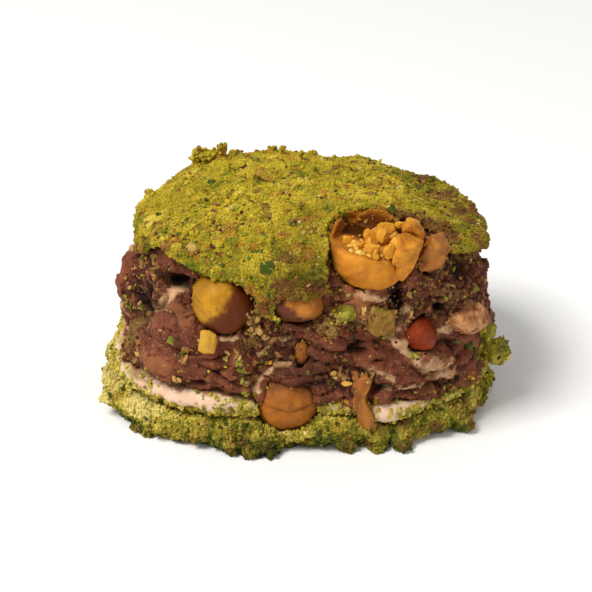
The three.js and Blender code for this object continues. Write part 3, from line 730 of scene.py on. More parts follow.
def chocolate_fudge():
    """Brown fudge with crumbly patches, ribbons of nougat and toffee, dust and pistachio chips."""
    material, nodes, shader = new_material("chocolate fudge", roughness=0.62, soft=0.04, shine=0.13)
    broad = patches(nodes, size=4.5, contrast=3.2)
    fine = patches(nodes, size=0.8, contrast=3.0)
    sand = packed(nodes, 0.34)
    edge = nodes.around_zero(fine, 0.6)
    crumbly = nodes.marked("crumbly", edge, 0.35, 0.7)
    green = nodes.marked("green", nodes.math("MULTIPLY", edge, 0.5), 0.4, 0.6)
    pale = nodes.mix(patches(nodes, size=1.4, contrast=3.0), "e2b88c", "b28258")
    color = nodes.mix(broad, "4c2619", "82452e")
    # What lies on the brown, from the lowest up: where it is, how thick it is, and its colour.
    layers = [
        (fine, 0.5, "854a32"),
        (nodes.between(sand, 0.86, 0.9), 0.25, "b0784c"),
        (nodes.between(sand, 0.12, 0.08), 0.3, "301810"),
        (nodes.marked("toffee", edge, 0.3, 0.8), 0.75, "8e5a38"),
        (crumbly, 0.8, nodes.ramp(packed(nodes, 0.62), CRUMBLED)),
        (nodes.marked("nougat", edge, 0.3, 0.85), 0.88, pale),
        (nodes.marked("dust", edge, 0.4, 0.85), 0.7, nodes.mix(fine, "6e5a26", "9c8044")),
        (green, 1.0, nodes.mix(fine, "746f20", "a69a38")),
    ]
    for mask, amount, other in layers:
        color = nodes.laid(color, mask, amount, other)
    paint(nodes, shader, nodes.shaded(color, "20100b"))
    rough = nodes.add("ShaderNodeMapRange", {"To Min": 0.52, "To Max": 0.8}, {"Value": fine})
    nodes.feed(shader.inputs["Roughness"], rough.outputs["Result"])
    roughen(nodes, shader, size=0.4, depth=0.13, crumbs=crumbly)
    return material


def white_nougat():
    """Nougat, brown where the filling stains it and green where ground pistachio clings to it."""
    material, nodes, shader = new_material("white nougat", roughness=0.5, soft=0.2, shine=0.3)
    color = nodes.mix(patches(nodes, size=2.0, contrast=2.0), "e8cbae", "d8ae8e")
    edge = nodes.around_zero(patches(nodes, size=0.7, contrast=3.0), 0.5)
    color = nodes.laid(color, nodes.marked("stain", edge, 0.25, 0.9), 0.9, "7c4028")
    color = nodes.laid(color, nodes.marked("dust", edge, 0.3, 0.8), 0.8, "b0a050")
    paint(nodes, shader, color)
    roughen(nodes, shader, size=0.7, depth=0.09, crumbs=0.25)
    return material


def kernel_material(name, light, dark, inner, roughness=0.5, coat=0.04, shine=0.2):
    """A hazelnut kernel, with its broken or scooped side in another colour."""
    material, nodes, shader = new_material(name, roughness=roughness, soft=0.12, coat=coat, shine=shine)
    broad = patches(nodes, size=3.0, contrast=2.6)
    fine = patches(nodes, size=0.6, contrast=3.0)
    color = nodes.laid(nodes.mix(broad, light, dark), fine, 0.45, dark)
    color = nodes.laid(color, nodes.between(packed(nodes, 1.3), 0.78, 0.9), 0.3, inner)
    inside = nodes.marked("inner", nodes.around_zero(fine, 0.25), 0.1, 0.9)
    paint(nodes, shader, nodes.shaded(nodes.mix(inside, color, inner), "3d1d0c"))
    roughen(nodes, shader, size=0.9, depth=0.1)
    return material


def browned_nougat():
    """Nougat that has taken up brown from the filling, in patches."""
    material, nodes, shader = new_material("browned nougat", roughness=0.5, soft=0.15, shine=0.25)
    color = nodes.mix(patches(nodes, size=2.8, contrast=4.5), "e0a266", "864424")
    color = nodes.laid(color, patches(nodes, size=0.7, contrast=2.5), 0.35, "824628")
    paint(nodes, shader, nodes.shaded(color, "3d1d0c"))
    roughen(nodes, shader, size=0.7, depth=0.12, crumbs=0.3)
    return material


# ------------------------------------------------------------------------------- distances and masks
def tree_of(objects):
    """The surfaces of pieces, still in mm, to measure distances to."""
    points = []
    faces = []
    for obj in objects:
        start = len(points)
        points.extend(v.co.copy() for v in obj.data.vertices)
        faces.extend([start + i for i in p.vertices] for p in obj.data.polygons)
    return BVHTree.FromPolygons(points, faces)


def distance_to(tree, points, reach=3.0):
    """How far each point is from the nearest surface, in mm, and `reach` where that is further."""
    found = np.full(len(points), reach)
    for i, point in enumerate(points):
        gap = tree.find_nearest(Vector(point), reach)[3]
        if gap is not None:
            found[i] = gap
    return found


def line_distance(flat, line):
    """Distance of flat points from a line of straight stretches."""
    best = np.full(len(flat), 1e3)
    for start, end in zip(line, line[1:]):
        start = np.array(start)
        along = np.array(end) - start
        share = np.clip(((flat - start) @ along) / (along @ along), 0, 1)
        gap = np.linalg.norm(flat - start - share[:, None] * along, axis=1)
        best = np.minimum(best, gap)
    return best


def spot(flat, middle, half):
    """1 at the middle of an oval, fading out past its half-sizes."""
    away = (flat - np.array(middle)) / np.array(half)
    return np.exp(-(away**2).sum(axis=1) ** 1.5)


def ridge(value, width):
    """1 where value is 0, fading out past width on either side."""
    return np.exp(-((value / width) ** 2))


def steep(normals, low=0.2, high=0.6):
    """1 where a face looks sideways, and 0 where it looks up or down."""
    return step(low, high, np.hypot(normals[:, 0], normals[:, 1]))


def bent(points, amount, length, seeds):
    """Points shifted softly every way."""
    return points + amount * np.stack([perlin(points, length, seed) for seed in seeds], axis=1)


def wander(points, length):
    """Soft sideways shifts for the features of the front, so that no outline is smooth."""
    return np.stack([perlin(points, length, 21), perlin(points, length, 22)], axis=1)


def front_share(points):
    """1 on the front of the piece, and 0 on its other sides."""
    return step(FRONT_DEPTH, FRONT_DEPTH - FRONT_FADE, points[:, 1])


def on_front(points, rows):
    """What rows of place, half-sizes and amount add up to at each point of the front."""
    return front_share(points) * sum(amount * spot(points[:, [0, 2]], *place) for *place, amount in rows)


def sunken(points):
    """Points with the right shoulder of the piece lower, as it has sunk a little there."""
    share = step(*SHOULDER_X, points[:, 0]) * step(*SHOULDER_Z, points[:, 2])
    return points - share[:, None] * np.array(SHOULDER_SHIFT)


# -------------------------------------------------------------------------------------------- layers
def crumbly_share(points):
    """Where the filling is crumbly: in chosen patches on the front, and in random ones elsewhere."""
    front = front_share(points)
    chosen = np.max([spot(points[:, [0, 2]], *patch) for patch in CRUMBLY], axis=0)
    anywhere = step(0.0, 0.45, perlin(points, 8, 11) + 0.12)
    chosen = np.maximum(chosen, 0.75 * step(0.12, 0.5, perlin(points, 3.2, 12)))
    return front * chosen + (1 - front) * anywhere


def torn_open(points):
    """Where the front is torn or creased open, 0 to 1, and how deep it is there."""
    flat = points[:, [0, 2]] + 0.3 * wander(points, 1.5)
    openings = [(spot(flat, *place), deep, FULL_HOLLOW) for *place, deep in HOLLOWS]
    for half, deep, line in CREASES:
        openings.append((ridge(line_distance(flat, line), half), deep, FULL_CREASE))
    torn = np.zeros(len(points))
    depth = np.zeros(len(points))
    for weight, deep, full in openings:
        torn = np.maximum(torn, weight * min(1, deep / full))
        depth += deep * weight
    front = front_share(points)
    return front * torn, front * depth


def ribbons(points):
    """Where the front's ribbons run, 0 to 1 for each kind, and how far they stand out."""
    flat = points[:, [0, 2]] + 0.35 * wander(points, 1.6)
    front = front_share(points)
    marks = {"nougat": np.zeros(len(points)), "toffee": np.zeros(len(points))}
    lift = np.zeros(len(points))
    for kind, half, height, line in RIBBONS:
        weight = front * ridge(line_distance(flat, line), half)
        lift += height * weight
        marks[kind] = np.maximum(marks[kind], weight)
    return marks, lift


def veins(points):
    """Where thin veins of nougat and streaks of toffee marble the filling, but for its front."""
    band = perlin(bent(points, 2.4, 7, (31, 32, 33)), (15, 15, 3.6), 34)
    gate = step(-0.1, 0.25, perlin(points, 11, 35)) * (1 - 0.95 * front_share(points))
    streak = ridge(band - 0.35, 0.1) * step(0.0, 0.3, perlin(points, 9, 36))
    return {"nougat": ridge(band, 0.09) * gate, "toffee": streak}


def folds(points, crumbly):
    """How far the filling's lumps, folds and crumbs stand out, and how deep its creases are."""
    smooth = 1 - crumbly
    twisted = bent(points, 1.6, 5, (6, 7, 8))
    lift = 0.6 * perlin(points, (6, 6, 2.4), 1) + 0.3 * perlin(points, (2.8, 2.8, 1.5), 2)
    chunk, which = crumble(twisted, 3.6, 9)
    lift += 0.8 * (which - 0.5) * step(0.1, 0.5, chunk) + 0.5 * (chunk - 0.5)
    fold = perlin(twisted, (9, 9, 2.1), 10)
    crease = ridge(fold, 0.07) * step(-0.35, 0.1, perlin(points, 6, 13))
    lift += (0.35 * np.abs(fold) ** 0.5 - 1.0 * crease) * (0.35 + 0.65 * smooth)
    grain, number = crumble(points, *FILLING_GRAIN)
    small, little = crumble(points, 0.8, 4)
    crumbs = 0.9 * (number - 0.5) + 0.7 * (grain - 0.5) + 0.35 * (little - 0.5) + 0.35 * (small - 0.4)
    lift += crumbly * crumbs
    lift += 0.12 * perlin(points, 1.0, 5) + 0.16 * smooth * perlin(twisted, (0.8, 0.8, 2.4), 15)
    return lift, crease * smooth


def past_bits(points):
    """How far each point lies outside the nearest chip that is one with the filling."""
    gaps = [np.linalg.norm(points - middle, axis=1) - radius for middle, radius in FUSED_BITS]
    return np.min(gaps, axis=0)


def under_lobe(points):
    """1 in the notch that runs under the left lobe and back round the corner, and 0 away from it."""
    height = NOTCH["height"] + NOTCH["rise"] * (points[:, 1] - CUT_FACE)
    along = step(*NOTCH_X, points[:, 0]) * step(*NOTCH_Y, points[:, 1])
    return ridge(points[:, 2] - height, NOTCH["half"]) * along


def filling_painted_shade(points):
    """Painted shade for the crumbs on the filling: darker in its shady places and low down. None is bare.
    """
    low_down = step(*FILLING_LOW, points[:, 2]) * front_share(points)
    shade = 1 - 1.2 * on_front(points, SHADY) - 0.15 * low_down + 0.2 * perlin(points, 2.5, 42)
    return np.clip(shade, 0.3, 1), np.zeros(len(points))


def chocolate_filling(kernels, coat):
    """The filling, pressed on to its kernels, with its folds, hollows, ribbons and crumbly patches."""
    fudge = moulded("filling_fudge", "chocolate_filling", "filling")
    calm = moulded("calm", "chocolate_filling", "calm filling")
    points = points_of(fudge)
    normals = normals_of(calm)
    proud = ((points - points_of(calm)) * normals).sum(axis=1)
    bpy.data.objects.remove(calm)

    crumbly = crumbly_share(points)
    lift, crease = folds(points, crumbly)
    lift += on_front(points, HUMPS)
    hole, depth = torn_open(points)
    under_coat = step(2.4, 0.4, distance_to(coat, points, 3.0))
    lift -= depth + RECESS * under_coat * step(*RECESS_X, points[:, 0])
    marks, ribbon_lift = ribbons(points)
    marbling = veins(points)
    lift += ribbon_lift + 0.25 * marbling["nougat"]
    for kind, vein in marbling.items():
        marks[kind] = np.maximum(marks[kind], vein)

    near = distance_to(kernels, points, 2.0)
    press = step(1.5, 0.3, near)
    lips = 0.3 + 1.1 * step(-0.25, 0.45, perlin(points, 2.4, 14))
    lift = lift * (1 - press) + lips * press
    bits = step(0.7, 0, past_bits(points))
    grain, number = crumble(points, *FILLING_GRAIN)
    lift = lift * (1 - bits) + 0.25 * (grain - 0.4) * bits
    notch = under_lobe(points)
    moved = sunken(points + normals * (np.clip(lift, *FILLING_RELIEF) * steep(normals, 0.3, 0.65))[:, None])
    moved[:, 0] += NOTCH["depth"] * notch
    write_points(fudge, moved)

    dust = 0.25 + 0.8 * perlin(points, 3.5, 41) + 0.4 * (number - 0.5)
    dust += 0.35 * under_coat + 0.4 * step(*FILLING_FOOT, points[:, 2]) + on_front(points, DUSTY)
    # Painted shade: darker in its hollows, creases and dents, round its kernels, under the skin's edge, in
    # the notch under the left lobe and in the shady places of the front.
    shade = 1.05 - 0.85 * hole - 0.5 * crease + 0.35 * np.minimum(lift, 0)
    shade -= 0.35 * step(0.75, 0.2, near) + 0.25 * under_coat + 0.4 * notch + on_front(points, SHADY)
    marks["dust"] = np.clip(dust * (0.35 + 0.65 * crumbly), 0, 1)
    marks["green"] = np.maximum(bits, step(0.25, 0.45, proud) * (1 - press))
    marks["shade"] = np.clip(shade, 0.05, 1)
    write_marks(fudge, crumbly=crumbly, **marks)
    return fudge


def pistachio_skin():
    """The domed skin, coated in fine ground pistachio, coarser where it hangs over the cut face."""
    coat = moulded("skin_coat", "pistachio_skin", "skin")
    core = moulded("core", "chocolate_filling", "core")
    core_tree = tree_of([core])
    bpy.data.objects.remove(core)
    points = points_of(coat)
    normals = normals_of(coat)
    low, high = (np.array(corner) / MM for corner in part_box("pistachio_skin"))
    heart = (low + high) / 2
    heart[2] = low[2] - 4
    outward = points - heart
    outward /= np.linalg.norm(outward, axis=1)[:, None]
    outer = step(-0.3, 0.1, (outward * normals).sum(axis=1))
    lumpy = step(*SKIN_LUMPY, points[:, 2])
    rim = step(1.3, 0.5, distance_to(core_tree, points, 2.0)) * outer
    grain, number = crumble(points, 1.0, 51)
    small, little = crumble(points, 0.55, 52)
    big, lump = crumble(points, 2.4, 53)
    knob, which = crumble(points, SKIN_LUMP, SKIN_LUMP_SEED)
    lift = 0.24 * (grain - 0.4) + 0.12 * (small - 0.4) + 0.35 * perlin(points, 3.6, 54) - 0.35
    lift -= CREST_DROP * step(*CREST, points[:, 2])
    lift += (0.25 + 0.5 * lumpy) * (big - 0.4) * step(0.45, 0.7, lump)
    lift += 0.42 * (knob - 0.4) * step(0.4, 0.8, which)
    lift -= 0.8 * rim * (0.3 + 0.7 * number)
    moved = points + normals * (lift * outer)[:, None]
    for *place, shift in DRAWN_EDGE:
        moved[:, [0, 2]] += np.outer(on_front(points, [(*place, 1)]), shift)
    write_points(coat, sunken(moved))
    shade, bare = skin_shade_and_bare(points)
    # Painted shade: darker low down, to the right, between the crumbs and at the rim, where the coat is
    # also bare.
    write_marks(
        coat,
        tint=skin_tint(points, number, little),
        shade=shade * np.clip(0.62 + 0.4 * grain + 0.2 * small - 0.4 * rim, 0, 1),
        bare=np.clip(bare + 0.7 * rim, 0, 1),
    )
    return coat


def skin_tint(points, number, little):
    """The coat's colour varies softly from place to place, and a little from crumb to crumb."""
    low_down = step(*SKIN_LOW_TINT, points[:, 2])
    soft = (0.26 * perlin(points, 6, 55) + 0.32 * perlin(points, 2.2, 57)) * (1 + 0.8 * low_down)
    lump = crumble(points, SKIN_LUMP, SKIN_LUMP_SEED)[1]
    mixed = 0.55 + soft + 0.28 * (lump - 0.5) + 0.14 * (number - 0.5) + 0.12 * (little - 0.5)
    return np.clip(mixed - 0.06 * low_down, 0.02, 0.96)


def skin_shade_and_bare(points):
    """The coat's painted shade, darker low down, to the right and beside the open kernel, and how bare it
    is, brown in patches. It is darker and bare where torn.
    """
    low_down = step(*SKIN_LOW, points[:, 2])
    right = step(*SKIN_RIGHT, points[:, 0])
    beside = on_front(points, [SHADED_BARE_LOBE])
    shade = 1 - 0.28 * low_down - 0.33 * right * (1 - 0.5 * low_down) + 0.18 * perlin(points, 5, 59)
    shade -= 0.38 * beside
    patch = perlin(points, 3.6, 58) + 0.5 * perlin(points, 1.6, 56)
    bare = 0.8 * (0.3 + 0.7 * low_down) * step(0.15, 0.7, patch + 0.2 * low_down + 0.1 * right)
    torn = spot(points[:, :2], *TORN_SKIN)
    bare = np.maximum(bare, torn * step(-0.9, -0.2, patch)) + 0.1 * beside
    return np.clip(shade - 0.36 * torn, 0.3, 1), np.clip(bare, 0, 1)


def bed_tint(points, number, little):
    """Darker and greener towards the underside, and pale where the bed meets the nougat."""
    low_down = step(*BED_FOOT, points[:, 2])
    high_up = step(*BED_TOP, points[:, 2])
    soft = 0.34 * perlin(points, 4, 64) + 0.32 * perlin(points, 1.8, 65)
    mixed = 0.5 + 1.2 * soft + 0.3 * (number - 0.5) + 0.25 * (little - 0.5)
    pale_end = step(*BED_PALE_X, points[:, 0]) * step(*BED_PALE_Z, points[:, 2])
    return np.clip(mixed - 0.22 * low_down + 0.2 * high_up + 0.46 * pale_end, 0.02, 0.95)


def bed_shade_and_bare(points):
    """The bed's painted shade, darker low down and on the front, and how brown it is, browner towards the
    right of the front.
    """
    low_down = step(*BED_SHADE, points[:, 2])
    right = step(*BED_RIGHT, points[:, 0]) * front_share(points)
    shade = 1.04 - 0.34 * low_down - 0.48 * on_front(points, [SHADED_BED]) + 0.24 * perlin(points, 3.2, 68)
    bare = 0.5 * step(0.25, 0.65, perlin(points, 2.6, 67) + 0.3 * right)
    return np.clip(shade, 0.25, 1), bare


def pistachio_bed():
    """The bed of ground pistachio, loose and lumpy at its edge and pressed flat underneath."""
    coat = moulded("bed_coat", "pistachio_bed", "bed")
    points = points_of(coat)
    normals = normals_of(coat)
    edge = steep(normals, 0.15, 0.5)
    grain, number = crumble(points, 1.5, 61)
    small, little = crumble(points, 0.75, 62)
    big, lump = crumble(points, 2.8, 66)
    lift = 0.6 * (grain - 0.35) + 0.25 * (small - 0.4) + 0.6 * perlin(points, 2.6, 63) - 0.1
    lift += 0.8 * (lump - 0.5) * big
    moved = points + normals * (lift * edge)[:, None]
    upper = step(0.0, 0.5, normals[:, 2]) * front_share(points)
    for (across, _), (half, _), out in SHEET_FOLDS:
        moved[:, 2] -= 0.8 * out * upper * ridge(points[:, 0] - across, half)
    moved[:, 2] = np.maximum(moved[:, 2], 0)
    write_points(coat, moved)
    # Painted shade: darker low down, in the middle of the front and between the crumbs.
    shade, bare = bed_shade_and_bare(points)
    shade = shade * np.clip(0.5 + 0.55 * grain + 0.25 * small, 0, 1)
    write_marks(coat, tint=bed_tint(points, number, little), shade=shade, bare=bare)
    return coat


def clean_nougat(points):
    """Where the white of the sheet shows: in chosen stretches on the front, in random ones elsewhere."""
    front = front_share(points)
    chosen = sum(spot(points[:, [0, 2]], *stretch) for stretch in CLEAN)
    anywhere = step(-0.05, 0.35, perlin(points, (9, 9, 30), 75)) * step(*SHEET_WHITE, points[:, 2])
    return np.clip(front * chosen + (1 - front) * anywhere, 0, 1)


def nougat_sheet(filling, bed):
    """The white sheet, stained where the filling touches it and dusted where the bed does."""
    sheet = moulded("nougat_layer", "nougat_sheet", "sheet")
    points = points_of(sheet)
    normals = normals_of(sheet)
    lift = 0.5 * perlin(points, 3.4, 71) + 0.2 * perlin(points, 1.3, 72) - 0.15
    lift += on_front(points, SHEET_FOLDS)
    write_points(sheet, points + normals * (lift * steep(normals))[:, None])
    front = front_share(points)
    left = step(*SHEET_FAR_LEFT, points[:, 0]) * front
    high_up = step(*SHEET_TOP, points[:, 2] + 0.6 * left + 0.5 * perlin(points, 2.5, 76))
    stain = np.maximum(step(0.95, 0.3, distance_to(filling, points)), 0.8 * high_up)
    stain = np.clip(stain * (0.75 + 0.5 * perlin(points, 2, 73)), 0, 1)
    dust = 0.55 + 0.5 * perlin(points, 2.2, 74) + 0.6 * step(1.4, 0.4, distance_to(bed, points))
    low_down = step(*SHEET_FOOT, points[:, 2] + 0.6 * perlin(points, 2.4, 77))
    low_left = 0.9 * low_down * step(*SHEET_LEFT, points[:, 0])
    dust = np.clip(dust - 0.85 * clean_nougat(points) + low_left * front, 0, 1)
    write_marks(sheet, stain=stain, dust=dust)
    return sheet


# ------------------------------------------------------------------------------------------- kernels
# How uneven a kernel's surface is in mm, where it isn't the usual.
UNEVEN = {"nut_red": 0.6, "nut_low": 0.3}
USUAL_UNEVEN = 0.22
# A kernel's square lower corner, where it has one: place (x, z), half-sizes and how far it comes out.
SQUARE_CORNERS = {"nut_open": ((12.2, 25.4), (2.2, 2.0), 1.1)}
OPEN_KERNEL = "hazelnut_open"


def kernel_place(points, node):
    """Points as shares of a kernel's half-sizes from its middle. Where its top is broken off, its
    half-width stands for its half-height."""
    low, high = (np.array(corner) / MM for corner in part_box(node))
    half = (high - low) / 2
    if node == OPEN_KERNEL:
        half[2] = half[0]
    return (points - (low + half)) / half, half


def kernel(name, node, seam=None, dark_side=None, scooped=False):
    """A kernel with its facets smoothed and faint ridges. seam is the height of its split. dark_side is the
    direction in which it darkens, as seen from the front, and how far the dark comes over. A scooped one
    shows its inside."""
    nut = moulded(name, node, "kernel")
    points = points_of(nut)
    normals = normals_of(nut)
    place, half = kernel_place(points, node)
    away = np.linalg.norm(place, axis=1)
    inner = step(0.95, 0.84, away) * scooped
    if dark_side is not None:
        across, up, reach = dark_side
        lean = place[:, 0] * across + place[:, 2] * up + reach + 0.16 * perlin(points, 1.8, 86)
        lean += 0.06 * perlin(points, 0.6, 87)
        inner = np.maximum(inner, step(-0.38, 0.28, lean))
    turn = np.arctan2(place[:, 0], place[:, 2])
    lift = 0.04 * np.sin(9 * turn + 3 * perlin(points, 3, 81)) * (1 - inner)
    lift += UNEVEN.get(name, USUAL_UNEVEN) * perlin(points, 2.6, 82) + 0.06 * perlin(points, 0.8, 83)
    if name in SQUARE_CORNERS:
        *corner, out = SQUARE_CORNERS[name]
        lift += out * spot(points[:, [0, 2]], *corner) * step(0, -0.3, place[:, 1])
    # Painted shade: the kernel darkens towards its outline as seen from the front.
    shade = 1.1 - 0.45 * step(0.55, 1.0, np.hypot(place[:, 0], place[:, 2])) + 0.2 * perlin(points, 1.5, 85)
    if seam is not None:
        line = (place[:, 2] - seam) * half[2] + 0.35 * perlin(points, 2.5, 84)
        groove = ridge(line, 0.2) * step(0.85, 0.5, np.abs(place[:, 0]))
        above = ridge(line - 0.55, 0.3) * step(0.7, 0.35, np.abs(place[:, 0]))
        lift -= 0.28 * groove
        # Painted shade in the seam's groove, a painted highlight in the band just above it, and darker
        # towards the top.
        shade += 0.3 * above - 0.34 * groove - 0.36 * place[:, 2]
    write_points(nut, points + normals * lift[:, None])
    write_marks(nut, inner=inner, shade=np.clip(shade, 0, 1))
    return nut


def hollowed(nut):
    """Paints shade into the open kernel's hollow: the back wall is dark at its foot, and so is the floor
    along it.
    """
    points = points_of(nut)
    normals = normals_of(nut)
    place = kernel_place(points, OPEN_KERNEL)[0]
    away = np.linalg.norm(place, axis=1)
    wall = (away < 0.85) & (normals[:, 1] < -0.7)
    ground = (away < 0.85) & (normals[:, 2] > 0.9)
    facing = normals[wall].mean(axis=0)
    before = points @ facing - np.median(points[wall] @ facing)
    above = points[:, 2] - np.median(points[ground][:, 2])
    on_wall = step(-0.3, -0.6, normals[:, 1]) * step(-0.1, 0.1, place[:, 1])
    on_ground = step(0.6, 0.9, normals[:, 2]) * step(0.95, 0.85, away)
    on_wall_shade = 0.3 + 0.2 * step(0.7, 2.2, above)
    shade = np.where(on_wall > on_ground, on_wall_shade, 0.72 - 0.64 * step(5.2, 3.4, before))
    hollow = np.maximum(on_wall, on_ground)
    blend(nut, "inner", 0.35, on_ground)
    blend(nut, "shade", shade, hollow)
    # A painted shadow on the kernel's far left, where the skin hangs over it.
    blend(nut, "shade", 0.45, 0.7 * step(-0.6, -0.95, place[:, 0]) * (1 - hollow))


def nougat_lump(name, node):
    """A torn lump of nougat, with dents and a few hollows."""
    lump = moulded(name, node, "lump")
    points = points_of(lump)
    fold = perlin(points + 0.8 * perlin(points, 3, 95)[:, None], (5, 4, 2.8), 98)
    crease = ridge(fold, 0.09)
    lift = 0.1 + 0.7 * perlin(points, 4.2, 96) - 0.22 * crease + 0.34 * perlin(points, (2, 2, 1.5), 97)
    write_points(lump, points + normals_of(lump) * lift[:, None])
    outer_end = (points[:, 0] - points[:, 0].mean()) / np.ptp(points[:, 0])
    # Painted shade in its dents and creases; it is also darker towards its left end.
    shade = 0.86 + 0.6 * outer_end + 0.5 * np.minimum(lift, 0) - 0.3 * crease
    write_marks(lump, shade=np.clip(shade, 0, 1))
    return lump


def shard(name, node, waist=0.0, rough=1.0):
    """An angular broken piece, with crisp edges and a rough fracture face. waist is how far its right side
    comes in, and rough how uneven its faces are."""
    piece = moulded(name, node, "shard")
    points = points_of(piece)
    normals = normals_of(piece)
    low, high = (np.array(corner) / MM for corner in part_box(node))
    up = (points[:, 2] - low[2]) / (high[2] - low[2])
    right = step(0.3, 1, (points[:, 0] - low[0]) / (high[0] - low[0]))
    points[:, 0] -= waist * right * ridge(up - 0.55, 0.2)
    points[:, 0] += 0.7 * waist * (1 - right) * step(0.6, 0.0, up)
    broken, number = crumble(points, (1.3, 1.3, 2.2), 90)
    chipped, _ = crumble(points, 0.6, 91)
    lift = 0.1 * (number - 0.5) + 0.05 * (broken - 0.5) + 0.07 * (chipped - 0.5)
    lift += 0.16 * perlin(points, 1.5, 93) + 0.06 * perlin(points, 0.5, 92)
    write_points(piece, points + normals * (rough * lift)[:, None])
    # The shade mark is painted shade: darker where its broken facets meet.
    write_marks(
        piece,
        inner=0.3 * step(0.5, 0.2, number),
        shade=np.clip(0.7 + 0.5 * broken, 0, 1),
        tint=np.clip(0.15 + 0.3 * number, 0, 1),
        bare=np.zeros(len(points)),
    )
    return piece


# -------------------------------------------------------------------------------------- loose crumbs
CRUMB_SHAPES = 8  # broken shapes for each kind of crumb
TRIES = 14  # random places tried for each crumb
FEW_LARGE = 2.2  # the higher this is, the fewer crumbs are near their largest size
SEATED = 0.45  # how far a chip's middle stands out, as a share of its half-size
# How the parts of one chip differ: place and size as shares of it, lean in degrees, and tint.
PART_PLACE = 0.6
PART_SIZE = (0.4, 0.8)
PART_LEAN = 50
PART_TINT = 0.3


def crumb_shape(kind, rng):
    """The points and faces of one crumb of half-size 1: a broken "block", a rounder "grain", or a "chip"
    with a few flat facets."""
    bm = bmesh.new()
    if kind == "block":
        bmesh.ops.create_cube(bm, size=2)
    else:
        bmesh.ops.create_icosphere(bm, subdivisions=1 if kind == "grain" else 3, radius=1)
    points = np.array([v.co for v in bm.verts])
    faces = np.array([[v.index for v in face.verts] for face in bm.faces])
    bm.free()
    if kind == "chip":
        facets = rng.normal(size=(9, 3))
        facets /= np.linalg.norm(facets, axis=1)[:, None]
        reach = rng.uniform(0.5, 0.85, 9) / np.maximum(points @ facets.T, 0.3)
        bumps = 1 + 0.2 * perlin(points, 0.5, int(rng.integers(1000)))
        return points * (np.minimum(reach.min(axis=1), 1.35) * bumps)[:, None], faces
    least = 0.75 if kind == "grain" else 0.5
    return points * rng.uniform(least, 1.15, points.shape), faces


def turned(rng, count):
    """Random turns, as matrices."""
    q = rng.normal(size=(count, 4))
    w, x, y, z = (q / np.linalg.norm(q, axis=1)[:, None]).T
    rows = [
        [1 - 2 * (y * y + z * z), 2 * (x * y - z * w), 2 * (x * z + y * w)],
        [2 * (x * y + z * w), 1 - 2 * (x * x + z * z), 2 * (y * z - x * w)],
        [2 * (x * z - y * w), 2 * (y * z + x * w), 1 - 2 * (x * x + y * y)],
    ]
    return np.moveaxis(np.array(rows), -1, 0)


def joined(name, places, sizes, tints, rng, kind="block", flatness=0.7, turns=None, shade_and_bare=None):
    """One mesh of many crumbs: a few broken shapes, each turned, sized and tinted on its own.
    shade_and_bare is the rule for their painted shade and how bare they are at each place."""
    shapes = [crumb_shape(kind, rng) for _ in range(CRUMB_SHAPES)]
    templates = np.array([points for points, _ in shapes])
    faces = shapes[0][1]
    count = len(places)
    points = templates[rng.integers(0, len(shapes), count)]
    sizes = np.asarray(sizes, float)
    if sizes.ndim == 1:
        points = points * np.array([1, rng.uniform(flatness, 1), flatness])
        sizes = sizes[:, None]
    turns = turned(rng, count) if turns is None else turns
    points = np.einsum("nij,nvj->nvi", turns, points * sizes[:, None, :]) + places[:, None]
    points[..., 2] -= np.minimum(points[..., 2].min(axis=1), 0)[:, None]
    mesh = bpy.data.meshes.new(name)
    width = points.shape[1]
    every = faces[None] + (np.arange(count) * width)[:, None, None]
    mesh.from_pydata(points.reshape(-1, 3), [], every.reshape(-1, faces.shape[1]))
    obj = linked(name, mesh)
    shade, bare = shade_and_bare(places) if shade_and_bare else (np.ones(count), np.zeros(count))
    marks = {"tint": tints, "shade": shade, "bare": bare, "inner": np.zeros(count)}
    write_marks(obj, **{mark: np.repeat(values, width) for mark, values in marks.items()})
    return obj


def on_faces(hosts, count, rng):
    """Random places on the faces of pieces, with the outward direction there."""
    corners = []
    for host in hosts:
        host.data.calc_loop_triangles()
        index = np.empty(len(host.data.loop_triangles) * 3, np.int32)
        host.data.loop_triangles.foreach_get("vertices", index)
        corners.append(points_of(host)[index.reshape(-1, 3)])
    first, second, third = np.concatenate(corners).swapaxes(0, 1)
    normal = np.cross(second - first, third - first)
    area = np.linalg.norm(normal, axis=1)
    pick = rng.choice(len(first), count, p=area / area.sum())
    a, b = rng.random((2, count))
    first, second, third, normal, area = (each[pick] for each in (first, second, third, normal, area))
    flip = a + b > 1
    a[flip], b[flip] = 1 - a[flip], 1 - b[flip]
    places = first + a[:, None] * (second - first) + b[:, None] * (third - first)
    return places, normal / np.maximum(area, 1e-9)[:, None]


def scatter(name, hosts, count, half, seed, chance, tint=(0, 1), sunk=0.35, **shape):
    """Crumbs over the faces of pieces. chance(places, normals) says how likely a crumb is to lie at each
    place. tint is a range, or a rule that gives each crumb's tint from its place and two random numbers."""
    rng = np.random.default_rng(seed)
    places, normals = on_faces(hosts, count * TRIES, rng)
    keep = np.flatnonzero(rng.random(len(places)) < chance(places, normals))[:count]
    places, normals = places[keep], normals[keep]
    sizes = half[0] + (half[1] - half[0]) * rng.random(len(keep)) ** FEW_LARGE
    places = places + normals * (sizes * (1 - 2 * sunk))[:, None]
    if callable(tint):
        tints = tint(places, rng.random(len(keep)), rng.random(len(keep)))
    else:
        tints = rng.uniform(*tint, len(keep))
    return joined(name, places, sizes, tints, rng, **shape)


